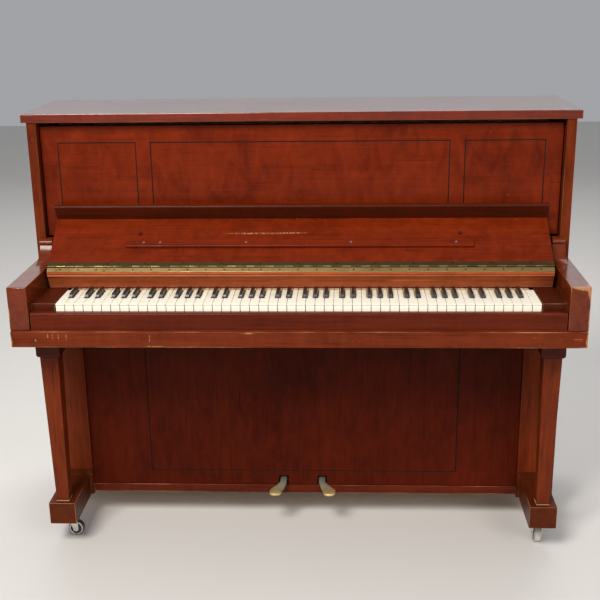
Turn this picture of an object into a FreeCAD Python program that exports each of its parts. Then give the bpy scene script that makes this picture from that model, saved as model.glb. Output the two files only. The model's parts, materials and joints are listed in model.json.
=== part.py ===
"""Upright studio piano, built as a FreeCAD parametric document.

Frame: millimetres, +X to the right as the player sees it, +Y towards the back, +Z up.
The origin is on the floor, under the middle of the piano's outline.
"Sizes" holds the driving dimensions, "Places" what follows from them.
"""
import FreeCAD, Part
import math
import os
import re
import Sketcher

SIZES = {
    # overall
    "width": 1476, "depth": 650, "height": 1185,
    # case
    "lid_thickness": 23, "lid_gap": 0.5, "lid_overhang": 13, "lid_back_overhang": 14, "lid_set_back": 294,
    "side_thickness": 25, "case_set_back": 298, "panel_set_back": 322, "panel_thickness": 20,
    "panel_top_gap": 13, "panel_edge_gap": 3, "panel_rest": 900, "panel_foot": 850, "notch_gap": 4,
    # keyboard end
    "rail_thickness": 30, "rail_bottom": 635, "rail_height": 42, "rail_inset": 2,
    "bed_thickness": 40, "bed_reach": 20, "arm_width": 50, "arm_inset": 8, "arm_top": 790,
    "scroll_width": 35, "scroll_height": 60, "scroll_radius": 75, "scroll_land": 20,
    "slip_inset": 12, "slip_thickness": 22, "slip_height": 45, "slip_gap": 3, "block_gap": 1.5,
    # keys
    "key_set_back": 36, "key_top": 739, "key_thickness": 22, "key_visible": 146, "key_pitch": 23.56,
    "key_gap": 1.0, "head_length": 51, "sharp_rise": 12, "sharp_width": 9.6,
    "balance_set_back": 251, "front_pin_place": 28, "sharp_pin_place": 76,
    "pin_radius": 2, "mortise_width": 7, "mortise_length": 12, "mortise_depth": 15, "balance_slot": 6.8,
    "front_pin_rise": 5, "balance_pin_rise": 18, "key_dip_room": 14, "key_cloth": 1.5,
    "front_rail_reach": 90, "balance_rail_width": 50, "balance_ridge": 6, "back_rail_width": 45,
    # fallboard
    "hinge_set_back": 169, "hinge_height": 801.5, "fall_gap": 11, "fall_length": 167, "fall_thickness": 18,
    "fall_rise": 36, "fall_start": 3, "lip_height": 47, "lip_thickness": 13,
    "leaf_width": 14, "leaf_thickness": 1.6, "barrel_radius": 2.6,
    "ledge_half": 461, "ledge_place": 62, "ledge_width": 26, "ledge_height": 9,
    "button_radius": 5, "button_height": 5, "button_inset": 33, "button_above": 24,
    "nameboard_thickness": 16, "nameboard_gap": 3, "nameboard_front": 179, "nameboard_lean": 15,
    "nameboard_nose": 5, "nose_drop": 9, "nameboard_bead": 6,
    # below the keys
    "stile_width": 83, "stile_set_back": 277, "stile_thickness": 22, "base_block_top": 159,
    "kneeboard_set_back": 282, "kneeboard_bottom": 112, "kneeboard_top_gap": 5, "kneeboard_thickness": 20,
    "toe_rail_height": 24, "floor_board_thickness": 18,
    "beam_width": 73, "beam_bottom": 79, "beam_top": 142, "beam_set_back": 96, "leg_inset": 63,
    "leg_top_width": 49, "leg_foot_width": 35, "leg_cap_width": 63, "leg_cap_height": 64, "leg_set_back": 103,
    # pedals
    "pedal_spread": 56, "pedal_arm_width": 20, "pedal_thickness": 12, "pedal_underside": 121,
    "pedal_tip_set_back": 226, "pedal_tip_radius": 16, "pedal_tip_offset": 21, "pedal_tip_drop": 13,
    "pedal_pivot_set_back": 336, "pedal_slot_side": 4, "pedal_slot_top": 140, "pivot_radius": 4,
    "pivot_clearance": 0.05, "dowel_radius": 8,
    # casters
    "caster_set_back": 180, "wheel_radius": 22.5, "wheel_width": 20, "fork_trail": 12, "fork_plate": 4,
    "axle_radius": 4, "fork_cheek": 3, "fork_gap": 1.5, "rear_caster_inset": 60,
    # back, soundboard and plate
    "string_depth": 152, "post_width": 75, "post_depth": 68, "beam_height": 80, "soundboard_thickness": 8,
    "rib_depth": 16, "rib_width": 22, "plate_thickness": 10, "plate_gap": 12, "pin_block_height": 120,
    "strut_width": 26, "strut_clearance": 20, "bridge_width": 26, "string_radius": 0.6, "bass_radius": 1.4,
    "tuning_radius": 2.5, "tuning_row": 22, "pin_length": 24,
    # action
    "action_depth": 62, "action_rail_width": 16, "action_rail_bottom": 860, "action_rail_height": 30,
    "blow": 45, "shank_width": 5, "bracket_thickness": 8, "heel_gap": 14,
    "hammer_half": 4, "head_half": 12, "damper_half": 3.5,
}

PLACES = {
    "front": "-depth / 2",
    "back": "depth / 2",
    "case_half": "width / 2 - lid_overhang",
    "case_back": "back - lid_back_overhang",
    "case_front": "front + case_set_back",
    "side_inner": "case_half - side_thickness",
    "lid_bottom": "height - lid_thickness",
    "panel_front": "front + panel_set_back",
    "panel_top": "lid_bottom - panel_top_gap",
    "rail_top": "rail_bottom + rail_height",
    "rail_half": "case_half - rail_inset",
    "arm_inner": "case_half - arm_width",
    "arm_front": "front + arm_inset",
    "bed_bottom": "rail_top - bed_thickness",
    "scroll_top": "arm_top + scroll_height",
    "scroll_drop": "scroll_radius - scroll_height",
    "scroll_axis_y": "case_front - scroll_land - sqrt(scroll_radius ^ 2 - scroll_drop ^ 2)",
    "slip_front": "front + slip_inset",
    "slip_top": "rail_top + slip_height",
    "key_front": "front + key_set_back",
    "key_bottom": "key_top - key_thickness",
    "key_back": "key_front + key_visible",
    "keyboard_half": "26 * key_pitch",
    "balance_y": "front + balance_set_back",
    "string_y": "back - string_depth",
    "action_y": "string_y - action_depth",
    "key_end": "action_y - 5",
    "bed_back": "action_y + bed_reach",
    "hinge_y": "front + hinge_set_back",
    "fall_half": "arm_inner - fall_gap",
    "panel_notch_half": "fall_half + notch_gap",
    "fall_cos": "cos(fall_rise)",
    "fall_sin": "sin(fall_rise)",
    "fall_heel": "hinge_height + fall_start * fall_sin - fall_thickness * fall_cos",
    "nameboard_y": "front + nameboard_front",
    "nose_y": "nameboard_y - nameboard_lean - nameboard_nose",
    "nameboard_top": "hinge_height - barrel_radius",
    "nose_top": "nameboard_top - leaf_thickness - nose_drop",
    "sharp_back": "nameboard_y - 5",
    "stile_inner": "side_inner - stile_width",
    "stile_front": "front + stile_set_back",
    "kneeboard_front": "front + kneeboard_set_back",
    "kneeboard_top": "bed_bottom - kneeboard_top_gap",
    "toe_rail_top": "kneeboard_bottom - 1",
    "toe_rail_bottom": "toe_rail_top - toe_rail_height",
    "floor_board_top": "toe_rail_bottom + floor_board_thickness",
    "leg_place": "case_half - leg_inset",
    "leg_y": "front + leg_set_back + leg_top_width / 2",
    "pedal_tip_y": "front + pedal_tip_set_back",
    "pedal_pivot_y": "front + pedal_pivot_set_back",
    "pedal_pivot_z": "pedal_underside + pedal_thickness / 2",
    "dowel_y": "bed_back + dowel_radius + 3",
    "dowel_top": "action_rail_bottom - 18",
    "caster_y": "front + caster_set_back",
    "rear_caster_y": "case_back - rear_caster_inset",
    "post_front": "case_back - post_depth",
    "soundboard_back": "post_front - rib_depth - 2",
    "soundboard_front": "soundboard_back - soundboard_thickness",
    "plate_front": "string_y + plate_gap",
    "plate_back": "plate_front + plate_thickness",
    "plate_top": "lid_bottom - 25",
    "plate_bottom": "floor_board_top + 45",
    "pin_line": "plate_top - 42",
    "string_bend": "pin_line - 34",
    "strike_height": "string_bend - 21",
    "stick_width": "key_pitch * 12.2 / 23.56",
}

KEY_NAMES = ("c", "c_sharp", "d", "d_sharp", "e", "f", "f_sharp", "g", "g_sharp", "a", "a_sharp", "b")
NOTES = 88
LOWEST_NOTE = 9  # the lowest note is an A, nine semitones above a C
SHARPS = (1, 3, 6, 8, 10)
BASS_NOTES = 30
SINGLE_STRINGS = 10
DAMPED_NOTES = 66
BASS_BREAK = -0.21  # where the cast plate's struts stand, as shares of half its width
STRUT_SHARES = (BASS_BREAK, 0.19, 0.58)

doc = FreeCAD.newDocument("upright_piano")
home = {}
nodes = []


def fill_sheet(name, cells, formulas):
    """A sheet with one row per entry: its name as the alias, its number or its formula."""
    sheet = doc.addObject("Spreadsheet::Sheet", name)
    for row, (alias, content) in enumerate(cells.items(), start=1):
        sheet.set(f"A{row}", alias)
        sheet.set(f"B{row}", "=" + bound(content) if formulas else str(content))
        sheet.setAlias(f"B{row}", alias)
        home[alias] = name
    return sheet


def bound(formula):
    """The formula with each known name written as its sheet's cell."""
    def cell(word):
        return f"{home[word[0]]}.{word[0]}" if word[0] in home else word[0]

    return re.sub(r"[a-z_]{3,}", cell, formula)


sizes = fill_sheet("Sizes", SIZES, formulas=False)
places = fill_sheet("Places", PLACES, formulas=True)
doc.recompute()


def value(name):
    """The number that a sheet holds under this name."""
    return float(getattr(doc.getObject(home[name]), name))


def keep(shape_object, label):
    """Marks an object as a finished sub-part whose label names its file."""
    shape_object.Label = label
    nodes.append(shape_object)
    return shape_object


def box(name, x, y, z):
    """A block between two formulas along each axis."""
    block = doc.addObject("Part::Box", name)
    for size, axis, (low, high) in zip(("Length", "Width", "Height"), "xyz", (x, y, z)):
        block.setExpression(size, bound(f"({high}) - ({low})"))
        block.setExpression(f"Placement.Base.{axis}", bound(low))
    return block


def cylinder(name, axis, radius, centre, low, high):
    """A round bar along X, Y or Z; centre gives the other two coordinates in X, Y, Z order."""
    bar = doc.addObject("Part::Cylinder", name)
    bar.setExpression("Radius", bound(radius))
    bar.setExpression("Height", bound(f"({high}) - ({low})"))
    turn = {"x": FreeCAD.Rotation(FreeCAD.Vector(0, 1, 0), 90),
            "y": FreeCAD.Rotation(FreeCAD.Vector(1, 0, 0), -90),
            "z": FreeCAD.Rotation()}[axis]
    bar.Placement = FreeCAD.Placement(FreeCAD.Vector(), turn)
    others = [letter for letter in "xyz" if letter != axis]
    for letter, formula in zip(others, centre):
        bar.setExpression(f"Placement.Base.{letter}", bound(formula))
    bar.setExpression(f"Placement.Base.{axis}", bound(low))
    return bar


def cut(name, base, tool):
    result = doc.addObject("Part::Cut", name)
    result.Base = base
    result.Tool = tool
    return result


def joined(kind, name, parts):
    """A Part::MultiFuse, Part::MultiCommon or Part::Compound of several objects."""
    result = doc.addObject(kind, name)
    if kind == "Part::Compound":
        result.Links = parts
    else:
        result.Shapes = parts
    return result


def group(label, parts):
    return keep(joined("Part::Compound", label, parts), label)


def both_sides(name, x, y, z):
    """The same block on the left and on the right."""
    left = box(f"{name}_left", (f"-({x[1]})", f"-({x[0]})"), y, z)
    return [left, box(f"{name}_right", x, y, z)]


def outline(sketch, points):
    """A closed outline of straight edges, each corner tied to its two formulas."""
    count = len(points)
    first = sketch.GeometryCount
    start = [FreeCAD.Vector(50 * math.cos(math.tau * n / count), 50 * math.sin(math.tau * n / count), 0)
             for n in range(count)]
    for n in range(count):
        sketch.addGeometry(Part.LineSegment(start[n], start[(n + 1) % count]), False)
    for n in range(count):
        sketch.addConstraint(Sketcher.Constraint("Coincident", first + n, 2, first + (n + 1) % count, 1))
    for n, corner in enumerate(points):
        for kind, formula in zip(("DistanceX", "DistanceY"), corner):
            tie = sketch.addConstraint(Sketcher.Constraint(kind, -1, 1, first + n, 1, 50.0))
            sketch.setExpression(f"Constraints[{tie}]", bound(formula))


def prism(name, plane, points, low, high, openings=()):
    """A PartDesign body: an outline with openings, padded between two formulas across its plane."""
    body = doc.addObject("PartDesign::Body", name)
    sketch = body.newObject("Sketcher::SketchObject", f"{name}_outline")
    role = next(item for item in body.Origin.OriginFeatures if item.Role == plane)
    sketch.AttachmentSupport = [(role, "")]
    sketch.MapMode = "FlatFace"
    outline(sketch, points)
    for opening in openings:
        outline(sketch, opening)
    start = f"-({high})" if plane == "XZ_Plane" else low
    sketch.setExpression("AttachmentOffset.Base.z", bound(start))
    pad = body.newObject("PartDesign::Pad", f"{name}_pad")
    pad.Profile = sketch
    pad.setExpression("Length", bound(f"({high}) - ({low})"))
    return body


def softened(body, radius, chosen):
    """Rounds the edges of a body's last feature for which chosen(edge) is true."""
    doc.recompute()
    base = body.Tip
    names = [f"Edge{n}" for n, edge in enumerate(base.Shape.Edges, start=1) if chosen(edge)]
    fillet = body.newObject("PartDesign::Fillet", f"{body.Name}_soft")
    fillet.Base = (base, names)
    fillet.setExpression("Radius", bound(radius))
    return body


def solids(label, shapes):
    """One sub-part of many like solids, worked out from the sheets by a loop."""
    feature = doc.addObject("Part::Feature", label)
    feature.Shape = Part.makeCompound(shapes)
    return keep(feature, label)


def slab(points, axis, low, high):
    """A straight-edged outline pushed out along an axis; points are the other two coordinates."""
    place = {"x": lambda a, b: FreeCAD.Vector(low, a, b),
             "y": lambda a, b: FreeCAD.Vector(a, low, b),
             "z": lambda a, b: FreeCAD.Vector(a, b, low)}[axis]
    corners = [place(*point) for point in points]
    face = Part.Face(Part.makePolygon(corners + corners[:1]))
    reach = FreeCAD.Vector(*[(high - low) * (letter == axis) for letter in "xyz"])
    return face.extrude(reach)


def brick(x, y, z):
    return Part.makeBox(x[1] - x[0], y[1] - y[0], z[1] - z[0], FreeCAD.Vector(x[0], y[0], z[0]))


# ---------------------------------------------------------------- case

def case_sides():
    for side, x in (("left", ("-case_half", "-side_inner")), ("right", ("side_inner", "case_half"))):
        panel = box(f"side_panel_{side}", x, ("case_front", "case_back"),
                    ("beam_bottom", "lid_bottom - lid_gap"))
        keep(panel, f"side_panel_{side}")


def arms():
    """Each arm is level in front and sweeps up in a hollow curve to meet the case."""
    parts = []
    for side, sign in (("left", "-"), ("right", "")):
        span = ("-case_half", "-arm_inner") if sign else ("arm_inner", "case_half")
        curl = ("-(arm_inner + scroll_width)", "-arm_inner")
        if not sign:
            curl = ("arm_inner", "arm_inner + scroll_width")
        level = box(f"arm_level_{side}", span, ("arm_front", "case_front"), ("rail_top", "arm_top"))
        rise = box(f"arm_rise_{side}", curl, ("scroll_axis_y", "case_front"), ("arm_top - 1", "scroll_top"))
        hollow = cylinder(f"arm_hollow_{side}", "x", "scroll_radius",
                          ("scroll_axis_y", "arm_top + scroll_radius"), f"{curl[0]} - 5", f"{curl[1]} + 5")
        curve = cut(f"arm_curve_{side}", rise, hollow)
        parts.append(joined("Part::MultiFuse", f"arm_{side}", [level, curve]))
    group("arms", parts)


def top_lid():
    lid = prism("top_lid", "XY_Plane",
                [("-width / 2", "front + lid_set_back"), ("width / 2", "front + lid_set_back"),
                 ("width / 2", "back"), ("-width / 2", "back")], "lid_bottom", "height")
    keep(softened(lid, "3", lambda edge: edge.BoundBox.ZMin > value("height") - 1), "top_lid")


def lid_hinge():
    """A continuous hinge behind the case: one leaf under the lid, one on the back beam."""
    half = "side_inner - 20"
    fixed = box("lid_leaf_fixed", (f"-({half})", half), ("case_back + 0.1", "case_back + 1.7"),
                ("lid_bottom - 34", "lid_bottom - 6"))
    keep(fixed, "lid_hinge_fixed_leaf")
    leaf = box("lid_leaf_moving", (f"-({half})", half), ("case_back + 2.2", "case_back + 12"),
               ("lid_bottom - 1.6", "lid_bottom"))
    barrel = cylinder("lid_barrel", "x", "2.2", ("case_back + 4.2", "lid_bottom - 3"), f"-({half})", half)
    keep(joined("Part::MultiFuse", "lid_hinge_moving_leaf", [leaf, barrel]), "lid_hinge_moving_leaf")


def upper_panel():
    half = "side_inner - panel_edge_gap"
    panel = prism("upper_front_panel", "XZ_Plane",
                  [(f"-({half})", "panel_foot"), ("-panel_notch_half", "panel_foot"),
                   ("-panel_notch_half", "panel_rest"), ("panel_notch_half", "panel_rest"),
                   ("panel_notch_half", "panel_foot"), (half, "panel_foot"), (half, "panel_top"),
                   (f"-({half})", "panel_top")], "panel_front", "panel_front + panel_thickness")
    keep(softened(panel, "5", lambda edge: edge.BoundBox.ZMin > value("panel_top") - 1
                  and edge.BoundBox.YMax < value("panel_front") + 1 and edge.Length > 100),
         "upper_front_panel")


def keyboard_surround():
    keep(prism("key_bed", "XY_Plane",
               [("-rail_half", "front + rail_thickness"), ("rail_half", "front + rail_thickness"),
                ("rail_half", "case_front"), ("side_inner", "case_front"), ("side_inner", "bed_back"),
                ("-side_inner", "bed_back"), ("-side_inner", "case_front"), ("-rail_half", "case_front")],
               "bed_bottom", "rail_top"), "key_bed")
    rail = prism("key_bed_rail", "XZ_Plane",
                 [("-rail_half", "rail_bottom"), ("rail_half", "rail_bottom"), ("rail_half", "rail_top"),
                  ("-rail_half", "rail_top")], "front", "front + rail_thickness")
    keep(softened(rail, "1.5", lambda edge: edge.BoundBox.YMax < value("front") + 1 and edge.Length > 100),
         "key_bed_rail")
    slip = prism("key_slip", "YZ_Plane",
                 [("slip_front", "rail_top"), ("slip_front + slip_thickness", "rail_top"),
                  ("slip_front + slip_thickness", "slip_top"), ("slip_front", "slip_top")],
                 "-(arm_inner - slip_gap)", "arm_inner - slip_gap")
    keep(softened(slip, "5", lambda edge: edge.BoundBox.ZMin > value("slip_top") - 1 and edge.Length > 100),
         "key_slip")
    group("key_blocks", both_sides("key_block", ("keyboard_half + block_gap", "arm_inner - 1"),
                                   ("key_front", "nameboard_y - 1"), ("rail_top", "key_top + 1")))


def nameboard():
    """The board behind the keys; its sloping top edge carries the fallboard's hinge."""
    board = prism("nameboard", "YZ_Plane",
                  [("nameboard_y", "key_top + nameboard_gap"),
                   ("nameboard_y + nameboard_thickness", "key_top + nameboard_gap"),
                   ("nameboard_y + nameboard_thickness", "fall_heel - 2"), ("hinge_y + 5", "fall_heel - 2"),
                   ("hinge_y + 3", "nameboard_top - 3"), ("hinge_y - 1", "nameboard_top - 2"),
                   ("nose_y", "nose_top"), ("nose_y", "nose_top - nameboard_bead"),
                   ("nameboard_y - nameboard_lean", "nose_top - nameboard_bead - 3")],
                  "-fall_half", "fall_half")
    keep(board, "nameboard")


# ---------------------------------------------------------------- fallboard

def leaning(shape_object, along, out):
    """Turns an object into the open fallboard's lean; along and out are measured from the hinge pin."""
    lean = FreeCAD.Rotation(FreeCAD.Vector(1, 0, 0), value("fall_rise"))
    shape_object.Placement = FreeCAD.Placement(shape_object.Placement.Base, lean)
    shape_object.setExpression("Placement.Rotation.Angle", bound("fall_rise * 1 deg"))
    y = f"hinge_y + ({along}) * fall_cos - ({out}) * fall_sin"
    z = f"hinge_height + ({along}) * fall_sin + ({out}) * fall_cos"
    shape_object.setExpression("Placement.Base.y", bound(y))
    shape_object.setExpression("Placement.Base.z", bound(z))
    return shape_object


def leaning_box(name, x, along, out):
    block = doc.addObject("Part::Box", name)
    for size, (low, high) in zip(("Length", "Width", "Height"), (x, along, out)):
        block.setExpression(size, bound(f"({high}) - ({low})"))
    block.setExpression("Placement.Base.x", bound(x[0]))
    return leaning(block, along[0], out[0])


def fallboard():
    """The open fallboard leans back on the panel; its inner face looks up at the player."""
    board = prism("fallboard", "YZ_Plane",
                  [("fall_start", "-fall_thickness"), ("fall_length + lip_thickness", "-fall_thickness"),
                   ("fall_length + lip_thickness", "lip_height"), ("fall_length", "lip_height"),
                   ("fall_length", "0"), ("fall_start", "0")], "-fall_half", "fall_half")
    keep(leaning(board, "0", "0"), "fallboard")
    ledge = leaning_box("music_ledge", ("-ledge_half", "ledge_half"),
                        ("ledge_place", "ledge_place + ledge_width"), ("0.1", "ledge_height"))
    keep(ledge, "music_ledge")
    buttons = []
    for side, sign in (("left", "-"), ("right", "")):
        button = doc.addObject("Part::Cylinder", f"rest_button_{side}")
        button.setExpression("Radius", bound("button_radius"))
        button.setExpression("Height", bound("button_height"))
        button.setExpression("Placement.Base.x", bound(f"{sign}(ledge_half - button_inset)"))
        buttons.append(leaning(button, "ledge_place + ledge_width + button_above", "0.1"))
    group("fallboard_buttons", buttons)


def fallboard_hinge():
    """A continuous hinge: the moving leaf and barrel on the fallboard, the fixed leaf on the nameboard."""
    leaf = leaning_box("fall_leaf_moving", ("-fall_half", "fall_half"), ("barrel_radius - 0.6", "leaf_width"),
                       ("0.05", "0.05 + leaf_thickness"))
    barrel = cylinder("fall_barrel", "x", "barrel_radius", ("hinge_y", "hinge_height"),
                      "-fall_half", "fall_half")
    keep(joined("Part::MultiFuse", "fallboard_hinge_moving_leaf", [leaf, barrel]),
         "fallboard_hinge_moving_leaf")
    keep(prism("fallboard_hinge_fixed_leaf", "YZ_Plane",
               [("nose_y", "nose_top + 0.1"), ("hinge_y - 1", "nameboard_top - 1.9"),
                ("hinge_y - 1", "nameboard_top - 0.4"), ("nose_y", "nose_top + 0.1 + leaf_thickness")],
               "-fall_half", "fall_half"),
         "fallboard_hinge_fixed_leaf")


# ---------------------------------------------------------------- below the keys

def lower_case():
    stiles = both_sides("stile", ("stile_inner", "side_inner"),
                        ("stile_front", "stile_front + stile_thickness"), ("base_block_top", "bed_bottom"))
    group("lower_stiles", stiles)
    beams = []
    for side, sign in (("left", -1), ("right", 1)):
        half = "beam_width / 2"
        x = (f"{sign} * leg_place - {half}", f"{sign} * leg_place + {half}")
        beam = box(f"toe_beam_{side}", x, ("front + beam_set_back", "stile_front"),
                   ("beam_bottom", "beam_top"))
        wide = ("stile_inner", "side_inner") if sign > 0 else ("-side_inner", "-stile_inner")
        foot = box(f"base_block_{side}", wide, ("stile_front - 3", "stile_front + stile_thickness"),
                   ("beam_bottom", "base_block_top"))
        beams.append(joined("Part::MultiFuse", f"toe_block_{side}", [beam, foot]))
    group("toe_blocks", beams)
    keep(box("floor_board", ("-side_inner", "side_inner"),
             ("kneeboard_front + kneeboard_thickness", "post_front"),
             ("toe_rail_bottom", "floor_board_top")), "bottom_board")
    keep(box("toe_rail", ("-stile_inner + 1", "stile_inner - 1"),
             ("kneeboard_front - 3", "kneeboard_front + kneeboard_thickness"),
             ("toe_rail_bottom", "toe_rail_top")), "bottom_rail")


def legs():
    parts = []
    for side, sign in (("left", -1), ("right", 1)):
        leg = doc.addObject("Part::Wedge", f"leg_{side}")
        ends = {"min": ("leg_foot_width", "Xmin", "Xmax", "Zmin", "Zmax"),
                "max": ("leg_top_width", "X2min", "X2max", "Z2min", "Z2max")}
        for width, *edges in ends.values():
            for edge in edges:
                leg.setExpression(edge, bound(f"{'-' if 'min' in edge else ''}{width} / 2"))
        leg.setExpression("Ymin", "0")
        leg.setExpression("Ymax", bound("rail_bottom - leg_cap_height - beam_top"))
        leg.Placement = FreeCAD.Placement(FreeCAD.Vector(), FreeCAD.Rotation(FreeCAD.Vector(1, 0, 0), 90))
        leg.setExpression("Placement.Base.x", bound(f"{sign} * leg_place"))
        leg.setExpression("Placement.Base.y", bound("leg_y"))
        leg.setExpression("Placement.Base.z", bound("beam_top"))
        half = "leg_cap_width / 2"
        cap = box(f"leg_cap_{side}", (f"{sign} * leg_place - {half}", f"{sign} * leg_place + {half}"),
                  (f"leg_y - {half}", f"leg_y + {half}"), ("rail_bottom - leg_cap_height", "rail_bottom"))
        parts += [leg, cap]
    group("front_legs", parts)


def lower_panel():
    half = "stile_inner - 1"
    slot = "pedal_arm_width / 2 + pedal_slot_side"
    points = [(f"-({half})", "kneeboard_bottom")]
    for sign in (-1, 1):
        left, right = (f"{sign} * pedal_spread - ({slot})", f"{sign} * pedal_spread + {slot}")
        points += [(left, "kneeboard_bottom"), (left, "pedal_slot_top"), (right, "pedal_slot_top"),
                   (right, "kneeboard_bottom")]
    points += [(half, "kneeboard_bottom"), (half, "kneeboard_top"), (f"-({half})", "kneeboard_top")]
    keep(prism("lower_front_panel", "XZ_Plane", points, "kneeboard_front",
               "kneeboard_front + kneeboard_thickness"), "lower_front_panel")


# ---------------------------------------------------------------- pedals

def pedals():
    """Each pedal is a level bar that dips and turns outwards to a round toe."""
    brackets = []
    for side, sign in (("left", -1), ("right", 1)):
        centre = f"{sign} * pedal_spread"
        tip = f"({centre} + {sign} * pedal_tip_offset)"
        half = "pedal_arm_width / 2"
        bar = box(f"pedal_bar_{side}", (f"{centre} - {half}", f"{centre} + {half}"),
                  ("kneeboard_front - 8", "dowel_y + dowel_radius"), ("0", "200"))
        neck = prism(f"pedal_neck_{side}", "XY_Plane",
                     [(f"{centre} - {half}", "kneeboard_front - 7"),
                      (f"{tip} - pedal_tip_radius * 0.97", "pedal_tip_y - 5"),
                      (f"{tip} + pedal_tip_radius * 0.97", "pedal_tip_y - 5"),
                      (f"{centre} + {half}", "kneeboard_front - 7")], "0", "200")
        toe = cylinder(f"pedal_toe_{side}", "z", "pedal_tip_radius", (tip, "pedal_tip_y - 2"), "0", "200")
        plan = joined("Part::MultiFuse", f"pedal_plan_{side}", [bar, neck, toe])
        level = "pedal_underside"
        top = "(pedal_underside + pedal_thickness)"
        past = "dowel_y + dowel_radius + 5"
        edge = prism(f"pedal_side_{side}", "YZ_Plane",
                     [("pedal_tip_y - 40", f"{level} - pedal_tip_drop"),
                      ("pedal_tip_y + 10", f"{level} - pedal_tip_drop"), ("kneeboard_front - 6", level),
                      (past, level), (past, top), ("kneeboard_front - 10", top),
                      ("pedal_tip_y + 6", f"{top} - pedal_tip_drop"),
                      ("pedal_tip_y - 40", f"{top} - pedal_tip_drop")],
                     f"{centre} - 60", f"{centre} + 60")
        solid = joined("Part::MultiCommon", f"pedal_blank_{side}", [plan, edge])
        hole = cylinder(f"pedal_bore_{side}", "x", "pivot_radius + pivot_clearance",
                        ("pedal_pivot_y", "pedal_pivot_z"), f"{centre} - 30", f"{centre} + 30")
        keep(cut(f"pedal_{side}", solid, hole), f"pedal_{side}")
        foot = box(f"bracket_foot_{side}", (f"{centre} - 24", f"{centre} + 24"),
                   ("pedal_pivot_y - 14", "pedal_pivot_y + 14"), ("floor_board_top", "floor_board_top + 4"))
        cheeks = [box(f"bracket_cheek_{side}_{n}", (f"{centre} + {x} - 2.5", f"{centre} + {x} + 2.5"),
                      ("pedal_pivot_y - 10", "pedal_pivot_y + 10"),
                      ("floor_board_top + 3", "pedal_pivot_z + 10"))
                  for n, x in enumerate((-14, 14))]
        pin = cylinder(f"bracket_pin_{side}", "x", "pivot_radius", ("pedal_pivot_y", "pedal_pivot_z"),
                       f"{centre} - 20", f"{centre} + 20")
        brackets.append(joined("Part::MultiFuse", f"pedal_bracket_{side}", [foot, *cheeks, pin]))
        dowel = cylinder(f"dowel_{side}", "z", "dowel_radius", (centre, "dowel_y"),
                         "pedal_underside + pedal_thickness + 0.5", "dowel_top")
        keep(dowel, f"pedal_dowel_{side}")
    group("pedal_brackets", brackets)


# ---------------------------------------------------------------- casters

def caster_fork(name, x, y, trail):
    """A plate and two cheeks; trail is where the wheel lies from the swivel, as two formulas."""
    hub = (f"{x} + {trail[0]}", f"{y} + {trail[1]}")
    across = 1 if trail[0] == "0" else 0
    plate = box(f"{name}_plate", (f"{x} - 22", f"{x} + 22"), (f"{y} - 22", f"{y} + 22"),
                ("beam_bottom - fork_plate", "beam_bottom - 0.4"))
    cheeks = []
    for n, sign in enumerate((-1, 1)):
        near = f"{sign} * (wheel_width / 2 + fork_gap)"
        far = f"{sign} * (wheel_width / 2 + fork_gap + fork_cheek)"
        low, high = (near, far) if sign > 0 else (far, near)
        along = ("-9", "9")
        spans = ((low, high), along) if across else (along, (low, high))
        cheeks.append(box(f"{name}_cheek_{n}", *[(f"{centre} + {a}", f"{centre} + {b}")
                                                for centre, (a, b) in zip(hub, spans)],
                          ("wheel_radius - 8", "beam_bottom - fork_plate + 1")))
    axis = "x" if across else "y"
    reach = "wheel_width / 2 + fork_gap + fork_cheek + 1"
    other, along_centre = (hub[1], hub[0]) if across else (hub[0], hub[1])
    axle = cylinder(f"{name}_axle", axis, "axle_radius", (other, "wheel_radius"),
                    f"{along_centre} - ({reach})", f"{along_centre} + {reach}")
    return joined("Part::MultiFuse", name, [plate, *cheeks, axle])


def caster_wheel(name, x, y, axis):
    centre, along = (y, x) if axis == "x" else (x, y)
    span = (f"{along} - wheel_width / 2", f"{along} + wheel_width / 2")
    tread = cylinder(f"{name}_tread", axis, "wheel_radius", (centre, "wheel_radius"), *span)
    bore = cylinder(f"{name}_bore", axis, "axle_radius + pivot_clearance", (centre, "wheel_radius"),
                    f"{span[0]} - 1", f"{span[1]} + 1")
    return cut(name, tread, bore)


def casters():
    left = ("-leg_place", "caster_y", ("fork_trail", "0"))
    right = ("leg_place", "caster_y", ("0", "-fork_trail"))
    for side, (x, y, trail) in (("left", left), ("right", right)):
        keep(caster_fork(f"caster_fork_{side}", x, y, trail), f"caster_fork_{side}")
        wheel = caster_wheel(f"caster_wheel_{side}", f"({x} + {trail[0]})", f"({y} + {trail[1]})",
                             "x" if trail[0] == "0" else "y")
        keep(wheel, f"caster_wheel_{side}")
    spots = (("left", "(-(side_inner - 45))"), ("right", "(side_inner - 45)"))
    group("rear_caster_forks", [caster_fork(f"rear_fork_{side}", x, "rear_caster_y", ("0", "0"))
                                for side, x in spots])
    group("rear_caster_wheels", [caster_wheel(f"rear_wheel_{side}", x, "rear_caster_y", "x")
                                 for side, x in spots])


# ---------------------------------------------------------------- back

def back_frame():
    """Five posts between a top and a bottom beam, glued up as one frame."""
    top = box("back_beam_top", ("-side_inner", "side_inner"), ("post_front", "case_back"),
              ("lid_bottom - beam_height", "lid_bottom - 1"))
    low = box("back_beam_low", ("-side_inner", "side_inner"), ("post_front", "case_back"),
              ("beam_bottom", "beam_bottom + beam_height"))
    posts = []
    for n in range(5):
        centre = f"{n - 2} * (side_inner - post_width / 2) / 2"
        posts.append(box(f"back_post_{n + 1}",
                         (f"{centre} - post_width / 2", f"{centre} + post_width / 2"),
                         ("post_front", "case_back"),
                         ("beam_bottom + beam_height", "lid_bottom - beam_height")))
    group("back_frame", [top, low, *posts])


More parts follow.
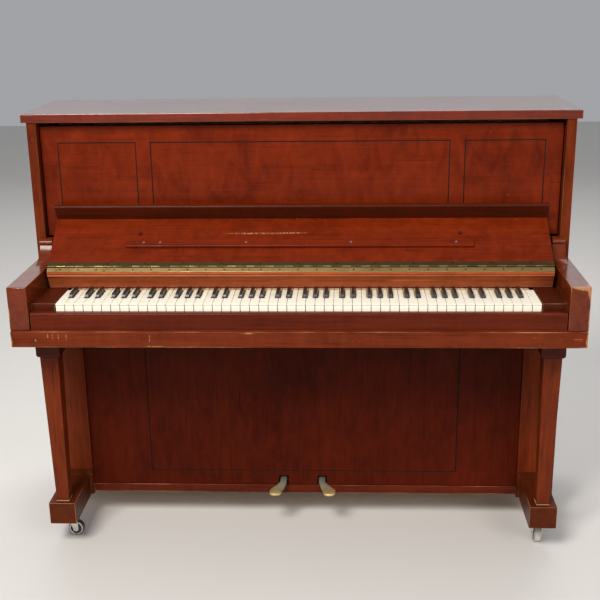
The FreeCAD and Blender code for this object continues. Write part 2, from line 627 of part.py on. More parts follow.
def soundboard():
    keep(box("soundboard", ("-side_inner", "side_inner"), ("soundboard_front", "soundboard_back"),
             ("floor_board_top", "plate_top - pin_block_height - 4")), "soundboard")
    half, low, high = value("side_inner") - 12, value("floor_board_top") + 15, value("plate_top") - 140
    reach = min(half * 2, high - low)
    ribs = []
    count = 8
    for n in range(count):
        start_x = -half - reach * 0.55 + (2 * half + reach * 0.55) * (n + 0.5) / count
        run = FreeCAD.Vector(1, 0, 1)
        line = [(start_x, low), (start_x + (high - low), high)]
        left = max(0.0, -half - line[0][0])
        right = min(high - low, half - line[0][0])
        if right - left > 120:
            bottom = FreeCAD.Vector(start_x + left, 0, low + left)
            length = (right - left) * run.Length
            rib = Part.makeBox(length, value("rib_depth"), value("rib_width"))
            rib.rotate(FreeCAD.Vector(), FreeCAD.Vector(0, 1, 0), -45)
            rib.translate(bottom + FreeCAD.Vector(0, value("soundboard_back"), 0))
            frame = brick((-half, half), (value("soundboard_back"), value("post_front")), (low, high))
            ribs.append(rib.common(frame).Solids[0])
    solids("soundboard_ribs", ribs)


def scale_point(note):
    """Where a note's string leaves its pin: the bass runs to the left, the rest to the right."""
    half = value("side_inner") - 62
    if note < BASS_NOTES:
        return -half + (half - 190) * note / (BASS_NOTES - 1)
    return -120 + (half + 120) * (note - BASS_NOTES) / (NOTES - 1 - BASS_NOTES)


def string_foot(note):
    """The lower end of a note's string, as x and z."""
    top = value("string_bend") - 6
    room = top - value("plate_bottom")
    if note < BASS_NOTES:
        share = note / (BASS_NOTES - 1)
        return scale_point(note) + 420 - 60 * share, value("plate_bottom") + 45 + 40 * share
    share = (note - BASS_NOTES) / (NOTES - 1 - BASS_NOTES)
    return scale_point(note) - 60 * (1 - share), top - (room - 120) * (75 / (room - 120)) ** share


def unison(note):
    """How far each of a note's one, two or three strings lies from its middle."""
    if note < SINGLE_STRINGS:
        return (0.0,)
    return (-2.4, 2.4) if note < BASS_NOTES else (-3.2, 0.0, 3.2)


def strung_back():
    """The cast plate with its struts, the pin block, the tuning pins, the strings and the bridges."""
    half = value("side_inner") - 6
    front, behind = value("plate_front"), value("plate_back")
    low, high = value("plate_bottom"), value("plate_top")
    window_top, window_low = value("pin_line") - 60, low + 20
    strut = value("strut_width")
    struts = [share * half for share in STRUT_SHARES]
    edges = [-half + 24, *struts, half - 24]
    plate = brick((-half, half), (front, behind), (low - 20, high))
    for n in range(len(edges) - 1):
        span = (edges[n] + strut / 2, edges[n + 1] - strut / 2)
        plate = plate.cut(brick(span, (front - 1, behind + 1), (window_low, window_top)))
    string_y, radius = value("string_y"), value("tuning_radius")
    pins, strings = [], []
    for note in range(NOTES):
        x_top = scale_point(note)
        x_foot, z_foot = string_foot(note)
        bass = note < BASS_NOTES
        thick = value("bass_radius") if bass else value("string_radius")
        level = string_y - 10 if bass else string_y
        for k, shift in enumerate(unison(note)):
            pin_z = value("pin_line") + value("tuning_row") * (k - 1) + 9 * (note % 2)
            head = FreeCAD.Vector(x_top + shift - radius - thick - 0.1, level - value("pin_length"), pin_z)
            length = value("plate_back") + 28 - head.y
            pins.append(Part.makeCylinder(radius, length, head, FreeCAD.Vector(0, 1, 0)))
            start = FreeCAD.Vector(x_top + shift, level, pin_z)
            bend = FreeCAD.Vector(x_top + shift, level, value("string_bend"))
            end = FreeCAD.Vector(x_foot + shift, level, z_foot - 22)
            lead = Part.makeCylinder(thick, (bend - start).Length, start, bend - start)
            speaking = Part.makeCylinder(thick, (end - bend).Length, bend, end - bend)
            strings.append(lead.fuse(speaking))
    holes = [Part.makeCylinder(radius + 0.4, 80, FreeCAD.Vector(pin.BoundBox.Center.x, front - 2,
             pin.BoundBox.Center.z), FreeCAD.Vector(0, 1, 0)) for pin in pins]
    drilled = Part.makeCompound(holes)
    solids("iron_plate", [plate.cut(drilled)])
    block = brick((-half, half), (behind + 0.2, value("soundboard_back") + 14),
                  (high - value("pin_block_height"), high))
    solids("pin_block", [block.cut(drilled)])
    solids("tuning_pins", pins)
    solids("strings", strings)

    def bar(start, end, y_low):
        along = FreeCAD.Vector(end[0] - start[0], 0, end[1] - start[1])
        wood = Part.makeBox(along.Length, value("soundboard_front") - y_low, value("bridge_width"))
        wood.translate(FreeCAD.Vector(0, 0, -value("bridge_width") / 2))
        wood.rotate(FreeCAD.Vector(), FreeCAD.Vector(0, 1, 0), -math.degrees(math.atan2(along.z, along.x)))
        wood.translate(FreeCAD.Vector(start[0], y_low, start[1]))
        return wood

    bars = []
    past = strut / 2 + value("strut_clearance")
    for low_x, high_x in zip([x + past for x in struts], [x - past for x in (*struts[1:], half - 9)]):
        ends = []
        for x in (low_x, high_x):
            note = min(range(BASS_NOTES, NOTES), key=lambda n: abs(string_foot(n)[0] - x))
            ends.append((x, string_foot(note)[1]))
        bars.append(bar(*ends, string_y + 1.5))
    bars.append(bar((-half + 60, low + 50), (struts[0] - strut / 2 - 4, low + 62), string_y - 8))
    solids("bridges", bars)


# ---------------------------------------------------------------- keys

def white_count(note):
    """How many white keys lie below this note."""
    return sum((LOWEST_NOTE + n) % 12 not in SHARPS for n in range(note))


def tail_span(note):
    """The two sides of a key's stick, from an even split of each group of keys at the back."""
    semitone = (LOWEST_NOTE + note) % 12
    octave = (LOWEST_NOTE + note) // 12
    pitch = value("key_pitch")
    octave_x = (octave * 7 - 5) * pitch - value("keyboard_half")
    if semitone < 5:
        width = 3 * pitch / 5
        start = octave_x + semitone * width
    else:
        width = 4 * pitch / 7
        start = octave_x + 3 * pitch + (semitone - 5) * width
    return start, start + width


def white_key(note):
    pitch, gap = value("key_pitch"), value("key_gap") / 2
    front, neck, end = value("key_front"), value("key_front") + value("head_length"), value("key_end")
    left = white_count(note) * pitch - value("keyboard_half") + gap
    right = left + pitch - 2 * gap
    tail = tail_span(note)
    inner_left = tail[0] + gap if (LOWEST_NOTE + note - 1) % 12 in SHARPS and note > 0 else left
    inner_right = tail[1] - gap if (LOWEST_NOTE + note + 1) % 12 in SHARPS and note < NOTES - 1 else right
    middle = (tail[0] + tail[1]) / 2
    half = value("stick_width") / 2
    shoulder = value("key_back") + 6
    points = [(left, front), (right, front), (right, neck), (inner_right, neck), (inner_right, shoulder),
              (middle + half, shoulder), (middle + half, end), (middle - half, end),
              (middle - half, shoulder), (inner_left, shoulder), (inner_left, neck), (left, neck)]
    trimmed = [point for n, point in enumerate(points) if point != points[n - 1]]
    return slab(trimmed, "z", value("key_bottom"), value("key_top")), (left + right) / 2, middle


def sharp_key(note):
    tail = tail_span(note)
    middle = (tail[0] + tail[1]) / 2
    half, top_half = value("stick_width") / 2, value("sharp_width") / 2
    neck = value("key_front") + value("head_length") + value("key_gap")
    low, top = value("key_bottom"), value("key_top")
    stick = brick((middle - half, middle + half), (neck + 4, value("key_end")), (low, top - 2))
    rise = value("sharp_rise")
    back = value("sharp_back")
    crown = slab([(neck, top - 2), (back, top - 2), (back, top + rise), (neck + 7, top + rise),
                  (neck + 1, top + rise - 5)], "x", middle - top_half, middle + top_half)
    return stick.fuse(crown).removeSplitter(), middle, middle


def keys():
    """The 88 keys in twelve sub-parts, one for each note name, with their guide pins on the key frame."""
    pins = []
    groups = {name: [] for name in KEY_NAMES}
    radius, low, balance_y = value("pin_radius"), value("key_bottom"), value("balance_y")
    frame_top = low - value("key_dip_room")
    half_long = value("mortise_length") / 2
    for note in range(NOTES):
        semitone = (LOWEST_NOTE + note) % 12
        sharp = semitone in SHARPS
        key, front_x, middle = sharp_key(note) if sharp else white_key(note)
        front_y = value("key_front") + value("sharp_pin_place" if sharp else "front_pin_place")
        slots = ((front_x, front_y, value("mortise_width"), value("mortise_depth")),
                 (middle, balance_y, value("balance_slot"), value("key_thickness") + 1))
        for x, y, width, depth in slots:
            across = (x - width / 2, x + width / 2)
            slot = brick(across, (y - half_long, y + half_long), (low - 1, low + depth))
            key = key.cut(slot)
        groups[KEY_NAMES[semitone]].append(key.Solids[0])
        for x, y, rise in ((front_x, front_y, value("front_pin_rise")),
                           (middle, balance_y, value("balance_pin_rise"))):
            pins.append(Part.makeCylinder(radius, low + rise - frame_top, FreeCAD.Vector(x, y, frame_top)))
    for name, shapes in groups.items():
        solids(f"keys_{name}", shapes)
    half = value("keyboard_half")
    bed, cloth = value("rail_top"), low - value("key_cloth")
    rail_front = value("key_front") + 8
    wide, ridge = value("balance_rail_width") / 2, value("balance_ridge") / 2
    back_end = value("key_end") - 5
    rails = [brick((-half, half), (rail_front, rail_front + value("front_rail_reach")), (bed, frame_top)),
             brick((-half, half), (balance_y - wide, balance_y + wide), (bed, cloth)),
             brick((-half, half), (back_end - value("back_rail_width"), back_end), (bed, cloth))]
    for span in ((-wide - 1, -ridge), (ridge, wide + 1)):
        step = brick((-half - 1, half + 1), (balance_y + span[0], balance_y + span[1]), (low - 8, low))
        rails[1] = rails[1].cut(step)
    solids("key_frame", rails + [pin.cut(rails[0]).cut(rails[1]) for pin in pins])


# ---------------------------------------------------------------- action

def strike_x(note):
    """Where a note's string passes its hammer."""
    top_z, (foot_x, foot_z) = value("string_bend"), string_foot(note)
    share = (top_z - value("strike_height")) / (top_z - foot_z)
    return scale_point(note) + (foot_x - scale_point(note)) * share


def action():
    """Brackets and rail, whippens, hammers on their shanks, the hammer rail and the dampers."""
    rail_y, rail_z = value("action_y"), value("action_rail_bottom")
    rail_top = rail_z + value("action_rail_height")
    rail_back = rail_y + value("action_rail_width")
    half = value("side_inner") - 40
    thick = value("bracket_thickness")
    frame = [brick((-half, half), (rail_y, rail_back), (rail_z, rail_top))]
    for x in (-half + 30, -half / 3, half / 3, half - 30):
        frame.append(brick((x, x + thick), (rail_y + 1, rail_back - 1), (value("rail_top"), rail_z)))
    solids("action_frame", [frame[0].multiFuse(frame[1:])])

    low = value("key_top") + value("heel_gap")
    face = rail_y - 0.4
    whippen = [(rail_y - 70, low), (face, low), (face, rail_z + 12), (rail_y - 9, rail_z + 12),
               (rail_y - 9, low + 34), (rail_y - 40, low + 30), (rail_y - 44, low + 60),
               (rail_y - 52, low + 60), (rail_y - 52, low + 22), (rail_y - 70, low + 18)]
    wide = value("hammer_half")
    solids("whippens", [slab(whippen, "x", strike_x(n) - wide, strike_x(n) + wide) for n in range(NOTES)])

    shank_y = rail_y - 8
    shank = value("shank_width") / 2
    strike, tip = value("strike_height"), value("string_y") - 11 - value("blow")
    butt = rail_top + 3
    head_low, head_high = strike - value("head_half"), strike + value("head_half")
    hammer = [(shank_y - 8, butt), (shank_y + 10, butt), (shank_y + 10, butt + 22),
              (shank_y + shank, butt + 34), (shank_y + shank, head_low), (tip - 8, head_low),
              (tip, strike - 4), (tip, strike + 4), (tip - 8, head_high), (shank_y - 14, strike + 6),
              (shank_y - 14, strike - 6), (shank_y - shank, head_low + 2), (shank_y - shank, butt + 34),
              (shank_y - 8, butt + 22)]
    solids("hammers", [slab(hammer, "x", strike_x(n) - wide, strike_x(n) + wide) for n in range(NOTES)])
    solids("hammer_rail", [brick((-half + 10, half - 10), (shank_y - shank - 14, shank_y - shank - 1),
                                 (strike - 62, strike - 30))])

    lever_y = rail_back + 3
    touch = value("string_y") - 12
    damper = [(lever_y, rail_z + 8), (lever_y + 8, rail_z + 8), (lever_y + 8, rail_z + 70),
              (touch - 10, rail_z + 70), (touch, rail_z + 66), (touch, rail_z + 104),
              (touch - 10, rail_z + 100), (touch - 10, rail_z + 78), (lever_y, rail_z + 78)]
    thin = value("damper_half")
    damped = [strike_x(n) for n in range(DAMPED_NOTES)]
    solids("dampers", [slab(damper, "x", x - thin, x + thin) for x in damped])


case_sides()
arms()
top_lid()
lid_hinge()
upper_panel()
keyboard_surround()
nameboard()
fallboard()
fallboard_hinge()
lower_case()
legs()
lower_panel()
pedals()
casters()
back_frame()
soundboard()
strung_back()
keys()
action()
doc.recompute()

for item in doc.Objects:
    if "Invalid" in item.State or "Error" in item.State:
        raise RuntimeError(f"{item.Label} did not build: {item.State}")
os.makedirs("parts", exist_ok=True)
for node in nodes:
    if node.Shape.isNull() or not node.Shape.isValid():
        raise RuntimeError(f"{node.Label} has no valid shape")
    node.Shape.exportStep(f"parts/{node.Label}.step")
    reach = node.Shape.BoundBox
    print(f"{node.Label:30s} {len(node.Shape.Solids):3d} solids  x {reach.XMin:8.1f} {reach.XMax:8.1f}"
          f"  y {reach.YMin:8.1f} {reach.YMax:8.1f}  z {reach.ZMin:8.1f} {reach.ZMax:8.1f}")
print(len(nodes), "sub-parts")
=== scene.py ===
"""The upright piano's looks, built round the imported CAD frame.

Metres, in the CAD's own frame: +X right, +Y back, +Z up, the origin on the floor.
Places are read from the frame's boxes and solids; small sizes of visual detail are named below.
"""

import json
import math

import bmesh
import bpy
from mathutils import Matrix, Vector


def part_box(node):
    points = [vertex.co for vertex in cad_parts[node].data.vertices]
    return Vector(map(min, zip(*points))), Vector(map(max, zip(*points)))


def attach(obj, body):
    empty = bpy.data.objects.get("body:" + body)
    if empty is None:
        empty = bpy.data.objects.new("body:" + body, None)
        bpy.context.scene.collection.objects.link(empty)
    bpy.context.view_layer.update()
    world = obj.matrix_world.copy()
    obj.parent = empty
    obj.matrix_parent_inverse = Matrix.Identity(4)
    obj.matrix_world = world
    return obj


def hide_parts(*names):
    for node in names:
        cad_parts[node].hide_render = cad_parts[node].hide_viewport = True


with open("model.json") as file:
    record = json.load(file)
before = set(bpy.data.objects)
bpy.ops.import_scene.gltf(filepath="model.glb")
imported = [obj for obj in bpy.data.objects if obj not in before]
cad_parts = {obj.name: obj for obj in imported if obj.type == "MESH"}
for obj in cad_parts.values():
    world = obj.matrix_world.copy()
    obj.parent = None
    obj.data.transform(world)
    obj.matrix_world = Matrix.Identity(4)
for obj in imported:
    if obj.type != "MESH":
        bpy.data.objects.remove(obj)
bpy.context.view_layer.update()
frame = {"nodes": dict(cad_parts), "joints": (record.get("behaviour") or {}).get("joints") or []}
NODES = frame["nodes"]


# ---------------------------------------------------------------- camera, lights and floor

def make_camera():
    """A long lens a little above the lid's height, looking slightly down and to the left."""
    data = bpy.data.cameras.new("camera")
    data.sensor_fit = "HORIZONTAL"
    data.sensor_width = 36
    data.lens = 62.04
    data.shift_y = 0.0333
    data.clip_end = 50
    camera = bpy.data.objects.new("camera", data)
    bpy.context.collection.objects.link(camera)
    turn, down, roll = math.radians(2.731), math.radians(18.018), math.radians(-0.802)
    level = Matrix.Rotation(math.pi / 2 - down, 4, "X")
    aim = Matrix.Rotation(turn, 4, "Z") @ level @ Matrix.Rotation(roll, 4, "Z")
    camera.matrix_world = Matrix.Translation((0.1276, -2.767, 1.504)) @ aim
    bpy.context.scene.camera = camera


def area_light(name, place, target, size, power, colour):
    data = bpy.data.lights.new(name, "AREA")
    data.shape = "RECTANGLE"
    data.size, data.size_y = size
    data.energy = power
    data.color = colour
    lamp = bpy.data.objects.new(name, data)
    lamp.location = place
    lamp.rotation_euler = (Vector(target) - Vector(place)).to_track_quat("-Z", "Y").to_euler()
    bpy.context.collection.objects.link(lamp)


def make_studio():
    """A pale floor under a pale sky, with four large soft lamps."""
    world = bpy.data.worlds.new("studio")
    bpy.context.scene.world = world
    world.use_nodes = True
    sky = world.node_tree.nodes["Background"]
    sky.inputs["Color"].default_value = (0.94, 0.96, 1.0, 1)
    sky.inputs["Strength"].default_value = 0.38
    bpy.context.scene.view_settings.view_transform = "Standard"
    area_light("key_lamp", (-1.3, -3.2, 3.9), (0, 0, 0.8), (1.6, 1.4), 240, (1.0, 0.97, 0.92))
    area_light("fill_lamp", (2.4, -3.8, 2.9), (0, 0, 0.7), (1.8, 1.6), 68, (1.0, 0.98, 0.96))
    area_light("top_lamp", (0.1, 1.5, 3.4), (0, 0.1, 1.1), (3.2, 1.4), 55, (1.0, 1.0, 1.0))
    area_light("back_lamp", (0, 4.6, 2.9), (0, 0.1, 1.1), (7.0, 1.8), 42, (1.0, 0.99, 0.97))
    mesh = bpy.data.meshes.new("floor")
    reach = 9.0
    corners = [(-reach, -reach, 0), (reach, -reach, 0), (reach, reach, 0), (-reach, reach, 0)]
    mesh.from_pydata(corners, [], [(0, 1, 2, 3)])
    floor = bpy.data.objects.new("floor", mesh)
    bpy.context.collection.objects.link(floor)
    mesh.materials.append(plain("floor_paint", (0.62, 0.60, 0.575), 0.65))


# ---------------------------------------------------------------- material helpers

class Graph:
    """A material's node tree with short ways to add nodes."""

    def __init__(self, name):
        self.material = bpy.data.materials.new(name)
        self.material.use_nodes = True
        self.tree = self.material.node_tree
        self.shader = self.tree.nodes["Principled BSDF"]
        self.coordinates = self.add("ShaderNodeTexCoord").outputs["Object"]

    def add(self, kind, **settings):
        node = self.tree.nodes.new(kind)
        for key, setting in settings.items():
            setattr(node, key, setting)
        return node

    def feed(self, socket, source):
        """Links a socket, or sets it when the source is a plain number or colour."""
        if isinstance(source, bpy.types.NodeSocket):
            self.tree.links.new(source, socket)
        elif isinstance(source, tuple) and len(source) == 3 and socket.type == "RGBA":
            socket.default_value = (*source, 1)
        else:
            socket.default_value = source

    def math(self, operation, a, b=None, clamp=False):
        node = self.add("ShaderNodeMath", operation=operation, use_clamp=clamp)
        self.feed(node.inputs[0], a)
        if b is not None:
            self.feed(node.inputs[1], b)
        return node.outputs[0]

    def stretched(self, scale, turn=(0, 0, 0), shift=(0, 0, 0)):
        node = self.add("ShaderNodeMapping")
        self.feed(node.inputs["Vector"], self.coordinates)
        node.inputs["Location"].default_value = shift
        node.inputs["Rotation"].default_value = turn
        node.inputs["Scale"].default_value = scale
        return node.outputs["Vector"]

    def noise(self, vector, scale, detail=4.0, roughness=0.55, distortion=0.0):
        node = self.add("ShaderNodeTexNoise")
        self.feed(node.inputs["Vector"], vector)
        for key, number in (("Scale", scale), ("Detail", detail), ("Roughness", roughness),
                            ("Distortion", distortion)):
            node.inputs[key].default_value = number
        return node.outputs["Fac"]

    def ramp(self, source, stops):
        """A colour ramp from (place, colour or grey) stops."""
        node = self.add("ShaderNodeValToRGB")
        self.feed(node.inputs["Fac"], source)
        elements = node.color_ramp.elements
        while len(elements) < len(stops):
            elements.new(0.5)
        for element, (place, colour) in zip(elements, stops):
            element.position = place
            element.color = (*colour, 1) if isinstance(colour, tuple) else (colour, colour, colour, 1)
        return node.outputs["Color"]

    def span(self, source, low, high, to_low=0.0, to_high=1.0):
        """The source mapped from low..high to to_low..to_high, held at the ends."""
        node = self.add("ShaderNodeMapRange")
        self.feed(node.inputs["Value"], source)
        for key, number in (("From Min", low), ("From Max", high), ("To Min", to_low), ("To Max", to_high)):
            node.inputs[key].default_value = number
        return node.outputs["Result"]

    def mix(self, share, a, b, blend="MIX"):
        node = self.add("ShaderNodeMix", data_type="RGBA", blend_type=blend)
        self.feed(node.inputs["Factor"], share)
        self.feed(node.inputs["A"], a)
        self.feed(node.inputs["B"], b)
        return node.outputs["Result"]

    def axes(self, vector=None):
        node = self.add("ShaderNodeSeparateXYZ")
        self.feed(node.inputs[0], vector or self.coordinates)
        return node.outputs

    def near(self, point, radius):
        """1 at a point, falling to 0 at a distance from it."""
        node = self.add("ShaderNodeVectorMath", operation="DISTANCE")
        self.feed(node.inputs[0], self.coordinates)
        node.inputs[1].default_value = point
        return self.span(node.outputs["Value"], 0.0, radius, 1.0, 0.0)

    def spot(self, centre, sizes):
        """1 inside a small ellipsoid, falling to 0 at its surface."""
        away = self.add("ShaderNodeVectorMath", operation="SUBTRACT")
        self.feed(away.inputs[0], self.coordinates)
        away.inputs[1].default_value = centre
        share = self.add("ShaderNodeVectorMath", operation="DIVIDE")
        self.feed(share.inputs[0], away.outputs[0])
        share.inputs[1].default_value = sizes
        length = self.add("ShaderNodeVectorMath", operation="LENGTH")
        self.feed(length.inputs[0], share.outputs[0])
        return self.span(length.outputs["Value"], 0.4, 1.0, 1.0, 0.0)

    def edge_distance(self, low, high):
        """On a box's faces, how far the nearest edge is: the middle of three distances to its planes.

        A box right of the middle also stands for its mirror image on the left.
        """
        places = list(self.axes())
        if low[0] > 0:
            places[0] = self.math("ABSOLUTE", places[0])
        gaps = []
        for place, start, end in zip(places, low, high):
            gaps.append(self.math("MINIMUM", self.math("ABSOLUTE", self.math("SUBTRACT", place, start)),
                                  self.math("ABSOLUTE", self.math("SUBTRACT", place, end))))
        small = self.math("MINIMUM", gaps[0], gaps[1])
        large = self.math("MAXIMUM", gaps[0], gaps[1])
        return self.math("MAXIMUM", small, self.math("MINIMUM", large, gaps[2]))

    def bump(self, height, strength, distance=0.0004):
        node = self.add("ShaderNodeBump")
        node.inputs["Strength"].default_value = strength
        node.inputs["Distance"].default_value = distance
        self.feed(node.inputs["Height"], height)
        self.feed(self.shader.inputs["Normal"], node.outputs["Normal"])

    def finish(self, colour, roughness, **fixed):
        self.feed(self.shader.inputs["Base Color"], colour)
        self.feed(self.shader.inputs["Roughness"], roughness)
        for key, number in fixed.items():
            self.feed(self.shader.inputs[key.replace("_", " ")], number)
        return self.material


def plain(name, colour, roughness):
    graph = Graph(name)
    cloud = graph.noise(graph.coordinates, 3.0)
    shade = graph.mix(graph.span(cloud, 0.3, 0.7, 0.0, 0.25), colour, tuple(0.93 * c for c in colour))
    return graph.finish(shade, roughness)


GRAIN_SCALES = {"x": (1.2, 26, 26), "y": (26, 1.2, 26), "z": (26, 26, 1.2)}
RAW_WOOD = (0.33, 0.155, 0.070)


def varnished(name, grain, dark, light, gloss=0.28, wear=0.0, wear_box=None, scratches=0.0, figure=0.5,
              scars=(), marks=(), coat=0.0, specular=0.10):
    """Varnished mahogany: figure, pores and, where asked, scratches, dents, marks and worn edges."""
    graph = Graph(name)
    along = graph.stretched(GRAIN_SCALES[grain])
    ribbon = graph.noise(along, 1.6, 5, 0.6, 0.6)
    fine = graph.noise(along, 7.0, 6, 0.7)
    cloud = graph.noise(graph.coordinates, 3.1, 3, 0.5, 0.4)
    mottle = graph.noise(graph.stretched((30, 30, 13), (0, 0.35, 0)), 1.0, 6, 0.62, 0.8)
    streaks = graph.math("ADD", graph.math("MULTIPLY", ribbon, 0.5), graph.math("MULTIPLY", fine, 0.5))
    blotch = graph.math("ADD", graph.math("MULTIPLY", mottle, 0.55), graph.math("MULTIPLY", cloud, 0.45))
    tone = graph.math("ADD", graph.math("MULTIPLY", streaks, 1.0 - figure),
                      graph.math("MULTIPLY", blotch, figure))
    middle = tuple((a + b) / 2 for a, b in zip(dark, light))
    colour = graph.ramp(tone, [(0.36, dark), (0.5, middle), (0.66, light)])
    pore_map = graph.stretched(tuple(4.0 * s if s < 2 else 14.0 * s for s in GRAIN_SCALES[grain]))
    pores = graph.span(graph.noise(pore_map, 1.0, 2, 0.5), 0.62, 0.70)
    colour = graph.mix(graph.math("MULTIPLY", pores, 0.5), colour, tuple(0.3 * c for c in dark))
    roughness = graph.span(graph.noise(graph.coordinates, 9.0, 4), 0.3, 0.75, gloss * 0.8, gloss * 1.35)
    worn_tone = graph.mix(fine, RAW_WOOD, tuple(min(1.0, 1.5 * c) for c in RAW_WOOD))
    if scratches:
        lines = 0.0
        for turn, shift in ((0.35, 3.0), (-0.5, 7.0), (0.06, 11.0)):
            thin = graph.stretched((2.0, 160, 160) if grain != "z" else (160, 160, 2.0), (turn, turn, turn),
                                   (shift, shift, shift))
            hair = graph.span(graph.noise(thin, 1.0, 2, 0.4), 0.735, 0.76)
            cover = graph.noise(graph.stretched((4, 4, 4), shift=(shift, 0, shift)), 1.0, 2)
            patchy = graph.span(cover, 0.5, 0.62)
            lines = graph.math("MAXIMUM", lines, graph.math("MULTIPLY", hair, patchy))
        dents = graph.span(graph.noise(graph.stretched((60, 60, 60), shift=(5, 5, 5)), 1.0, 1), 0.78, 0.80)
        lines = graph.math("MAXIMUM", lines, dents)
        share = graph.math("MULTIPLY", lines, scratches, clamp=True)
        colour = graph.mix(share, colour, tuple(min(1.0, 2.4 * c) for c in light))
        roughness = graph.math("ADD", roughness, graph.math("MULTIPLY", share, 0.25), clamp=True)
    for centre, sizes in marks:
        flecks = graph.span(graph.noise(graph.coordinates, 160.0, 3, 0.7), 0.42, 0.6)
        colour = graph.mix(graph.math("MULTIPLY", graph.spot(centre, sizes), flecks), colour, worn_tone)
    if wear:
        distance = graph.edge_distance(*wear_box)
        ragged = graph.noise(graph.coordinates, 55.0, 5, 0.7)
        patch = graph.noise(graph.coordinates, 6.0, 2, 0.5)
        worn = graph.math("MULTIPLY", ragged, graph.span(patch, 0.40, 0.66, 0.10, 1.4))
        reach = graph.math("MULTIPLY", worn, wear)
        for point, radius, depth in scars:
            scar = graph.math("MULTIPLY", graph.near(point, radius), ragged)
            reach = graph.math("ADD", reach, graph.math("MULTIPLY", scar, depth))
        gone = graph.span(graph.math("SUBTRACT", reach, distance), -0.0003, 0.0012)
        colour = graph.mix(graph.math("MULTIPLY", gone, 0.72), colour, worn_tone)
        roughness = graph.math("ADD", roughness, graph.math("MULTIPLY", gone, 0.3), clamp=True)
    graph.bump(graph.math("SUBTRACT", fine, graph.math("MULTIPLY", pores, 0.6)), 0.08)
    return graph.finish(colour, roughness, Coat_Weight=coat, Coat_Roughness=0.10,
                        Specular_IOR_Level=specular)


def bare_wood(name, grain, dark, light, roughness=0.6):
    """Unvarnished wood with visible grain and pores."""
    graph = Graph(name)
    along = graph.stretched(GRAIN_SCALES[grain])
    ribbon = graph.noise(along, 2.2, 6, 0.65, 0.8)
    rings = graph.math("SINE", graph.math("MULTIPLY", graph.noise(along, 0.7, 2, 0.5, 1.0), 40.0))
    tone = graph.math("ADD", ribbon, graph.math("MULTIPLY", rings, 0.07))
    colour = graph.ramp(tone, [(0.32, dark), (0.66, light)])
    rough = graph.span(ribbon, 0.3, 0.7, roughness * 0.85, min(1.0, roughness * 1.15))
    graph.bump(ribbon, 0.25)
    return graph.finish(colour, rough)


def metal(name, colour, dull, roughness=0.3, tarnish=0.5, brushed=None):
    """Aged metal: tarnish in clouds, with brushed lines where asked."""
    graph = Graph(name)
    cloud = graph.noise(graph.coordinates, 28.0, 5, 0.65, 0.4)
    speck = graph.noise(graph.coordinates, 190.0, 3, 0.6)
    share = graph.math("MULTIPLY", graph.span(cloud, 0.38, 0.68), tarnish)
    tone = graph.mix(share, colour, dull)
    tone = graph.mix(graph.span(speck, 0.62, 0.75, 0.0, 0.5), tone, tuple(0.5 * c for c in dull))
    rough = graph.span(cloud, 0.3, 0.75, roughness * 0.7, min(1.0, roughness * 1.6))
    lines = graph.noise(graph.stretched(brushed), 1.0, 3) if brushed else speck
    graph.bump(lines, 0.12, 0.0002)
    return graph.finish(tone, rough, Metallic=1.0)


def pedal_metal():
    """Plated brass, greenish grey on the arm and worn to gold on the toe."""
    graph = Graph("pedal_brass")
    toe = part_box("lower_front_panel")[0].y - 0.030
    cloud = graph.noise(graph.coordinates, 60.0, 5, 0.65, 0.4)
    place = graph.math("ADD", graph.axes()[1], graph.math("MULTIPLY", cloud, 0.012))
    worn = graph.span(place, toe - 0.030, toe + 0.012, 1.0, 0.0)
    gold = graph.mix(graph.span(cloud, 0.40, 0.65), (0.72, 0.54, 0.24), (0.48, 0.34, 0.14))
    tone = graph.mix(worn, graph.mix(cloud, (0.17, 0.175, 0.125), (0.30, 0.305, 0.22)), gold)
    graph.bump(cloud, 0.1, 0.0002)
    return graph.finish(tone, graph.span(cloud, 0.3, 0.75, 0.32, 0.5), Metallic=0.6)


def felt(name, colour, roughness=0.95):
    graph = Graph(name)
    fluff = graph.noise(graph.coordinates, 900.0, 4, 0.7)
    cloud = graph.noise(graph.coordinates, 60.0, 3, 0.6)
    tone = graph.mix(graph.span(cloud, 0.3, 0.7, 0.0, 0.35), colour, tuple(0.6 * c for c in colour))
    graph.bump(fluff, 0.5, 0.0005)
    return graph.finish(tone, graph.span(fluff, 0.3, 0.7, roughness * 0.9, 1.0), Sheen_Weight=0.4)


def moulded(name, colour, roughness, smudge=0.3, specular=0.5, bumps=0.04):
    """Plastic or celluloid with faint smudges and fine mottling."""
    graph = Graph(name)
    cloud = graph.noise(graph.coordinates, 35.0, 4, 0.6)
    fine = graph.noise(graph.coordinates, 240.0, 3, 0.6)
    tone = graph.mix(graph.span(cloud, 0.35, 0.7, 0.0, smudge), colour, tuple(0.86 * c for c in colour))
    graph.bump(fine, bumps, 0.0002)
    return graph.finish(tone, graph.span(cloud, 0.3, 0.7, roughness * 0.8, roughness * 1.4),
                        Specular_IOR_Level=specular)


# ---------------------------------------------------------------- mesh helpers

def new_piece(name, shape, body, materials, replaces=(), bevel=None, smooth=40):
    """An object from a bmesh, riding on a CAD body, with softened edges."""
    mesh = bpy.data.meshes.new(name)
    bmesh.ops.recalc_face_normals(shape, faces=shape.faces)
    shape.to_mesh(mesh)
    shape.free()
    for material in materials if isinstance(materials, (list, tuple)) else [materials]:
        mesh.materials.append(material)
    piece = bpy.data.objects.new(name, mesh)
    bpy.context.collection.objects.link(piece)
    soft_edges(piece, bevel)
    mesh.shade_smooth()
    mesh.set_sharp_from_angle(angle=math.radians(smooth))
    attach(piece, body)
    if replaces:
        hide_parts(*replaces)
    return piece


def soft_edges(target, width):
    """A small bevel on the sharp edges, where a width is given."""
    if not width:
        return
    edge = target.modifiers.new("soft_edges", "BEVEL")
    edge.width = width
    edge.segments = 2
    edge.limit_method = "ANGLE"
    edge.angle_limit = math.radians(35)


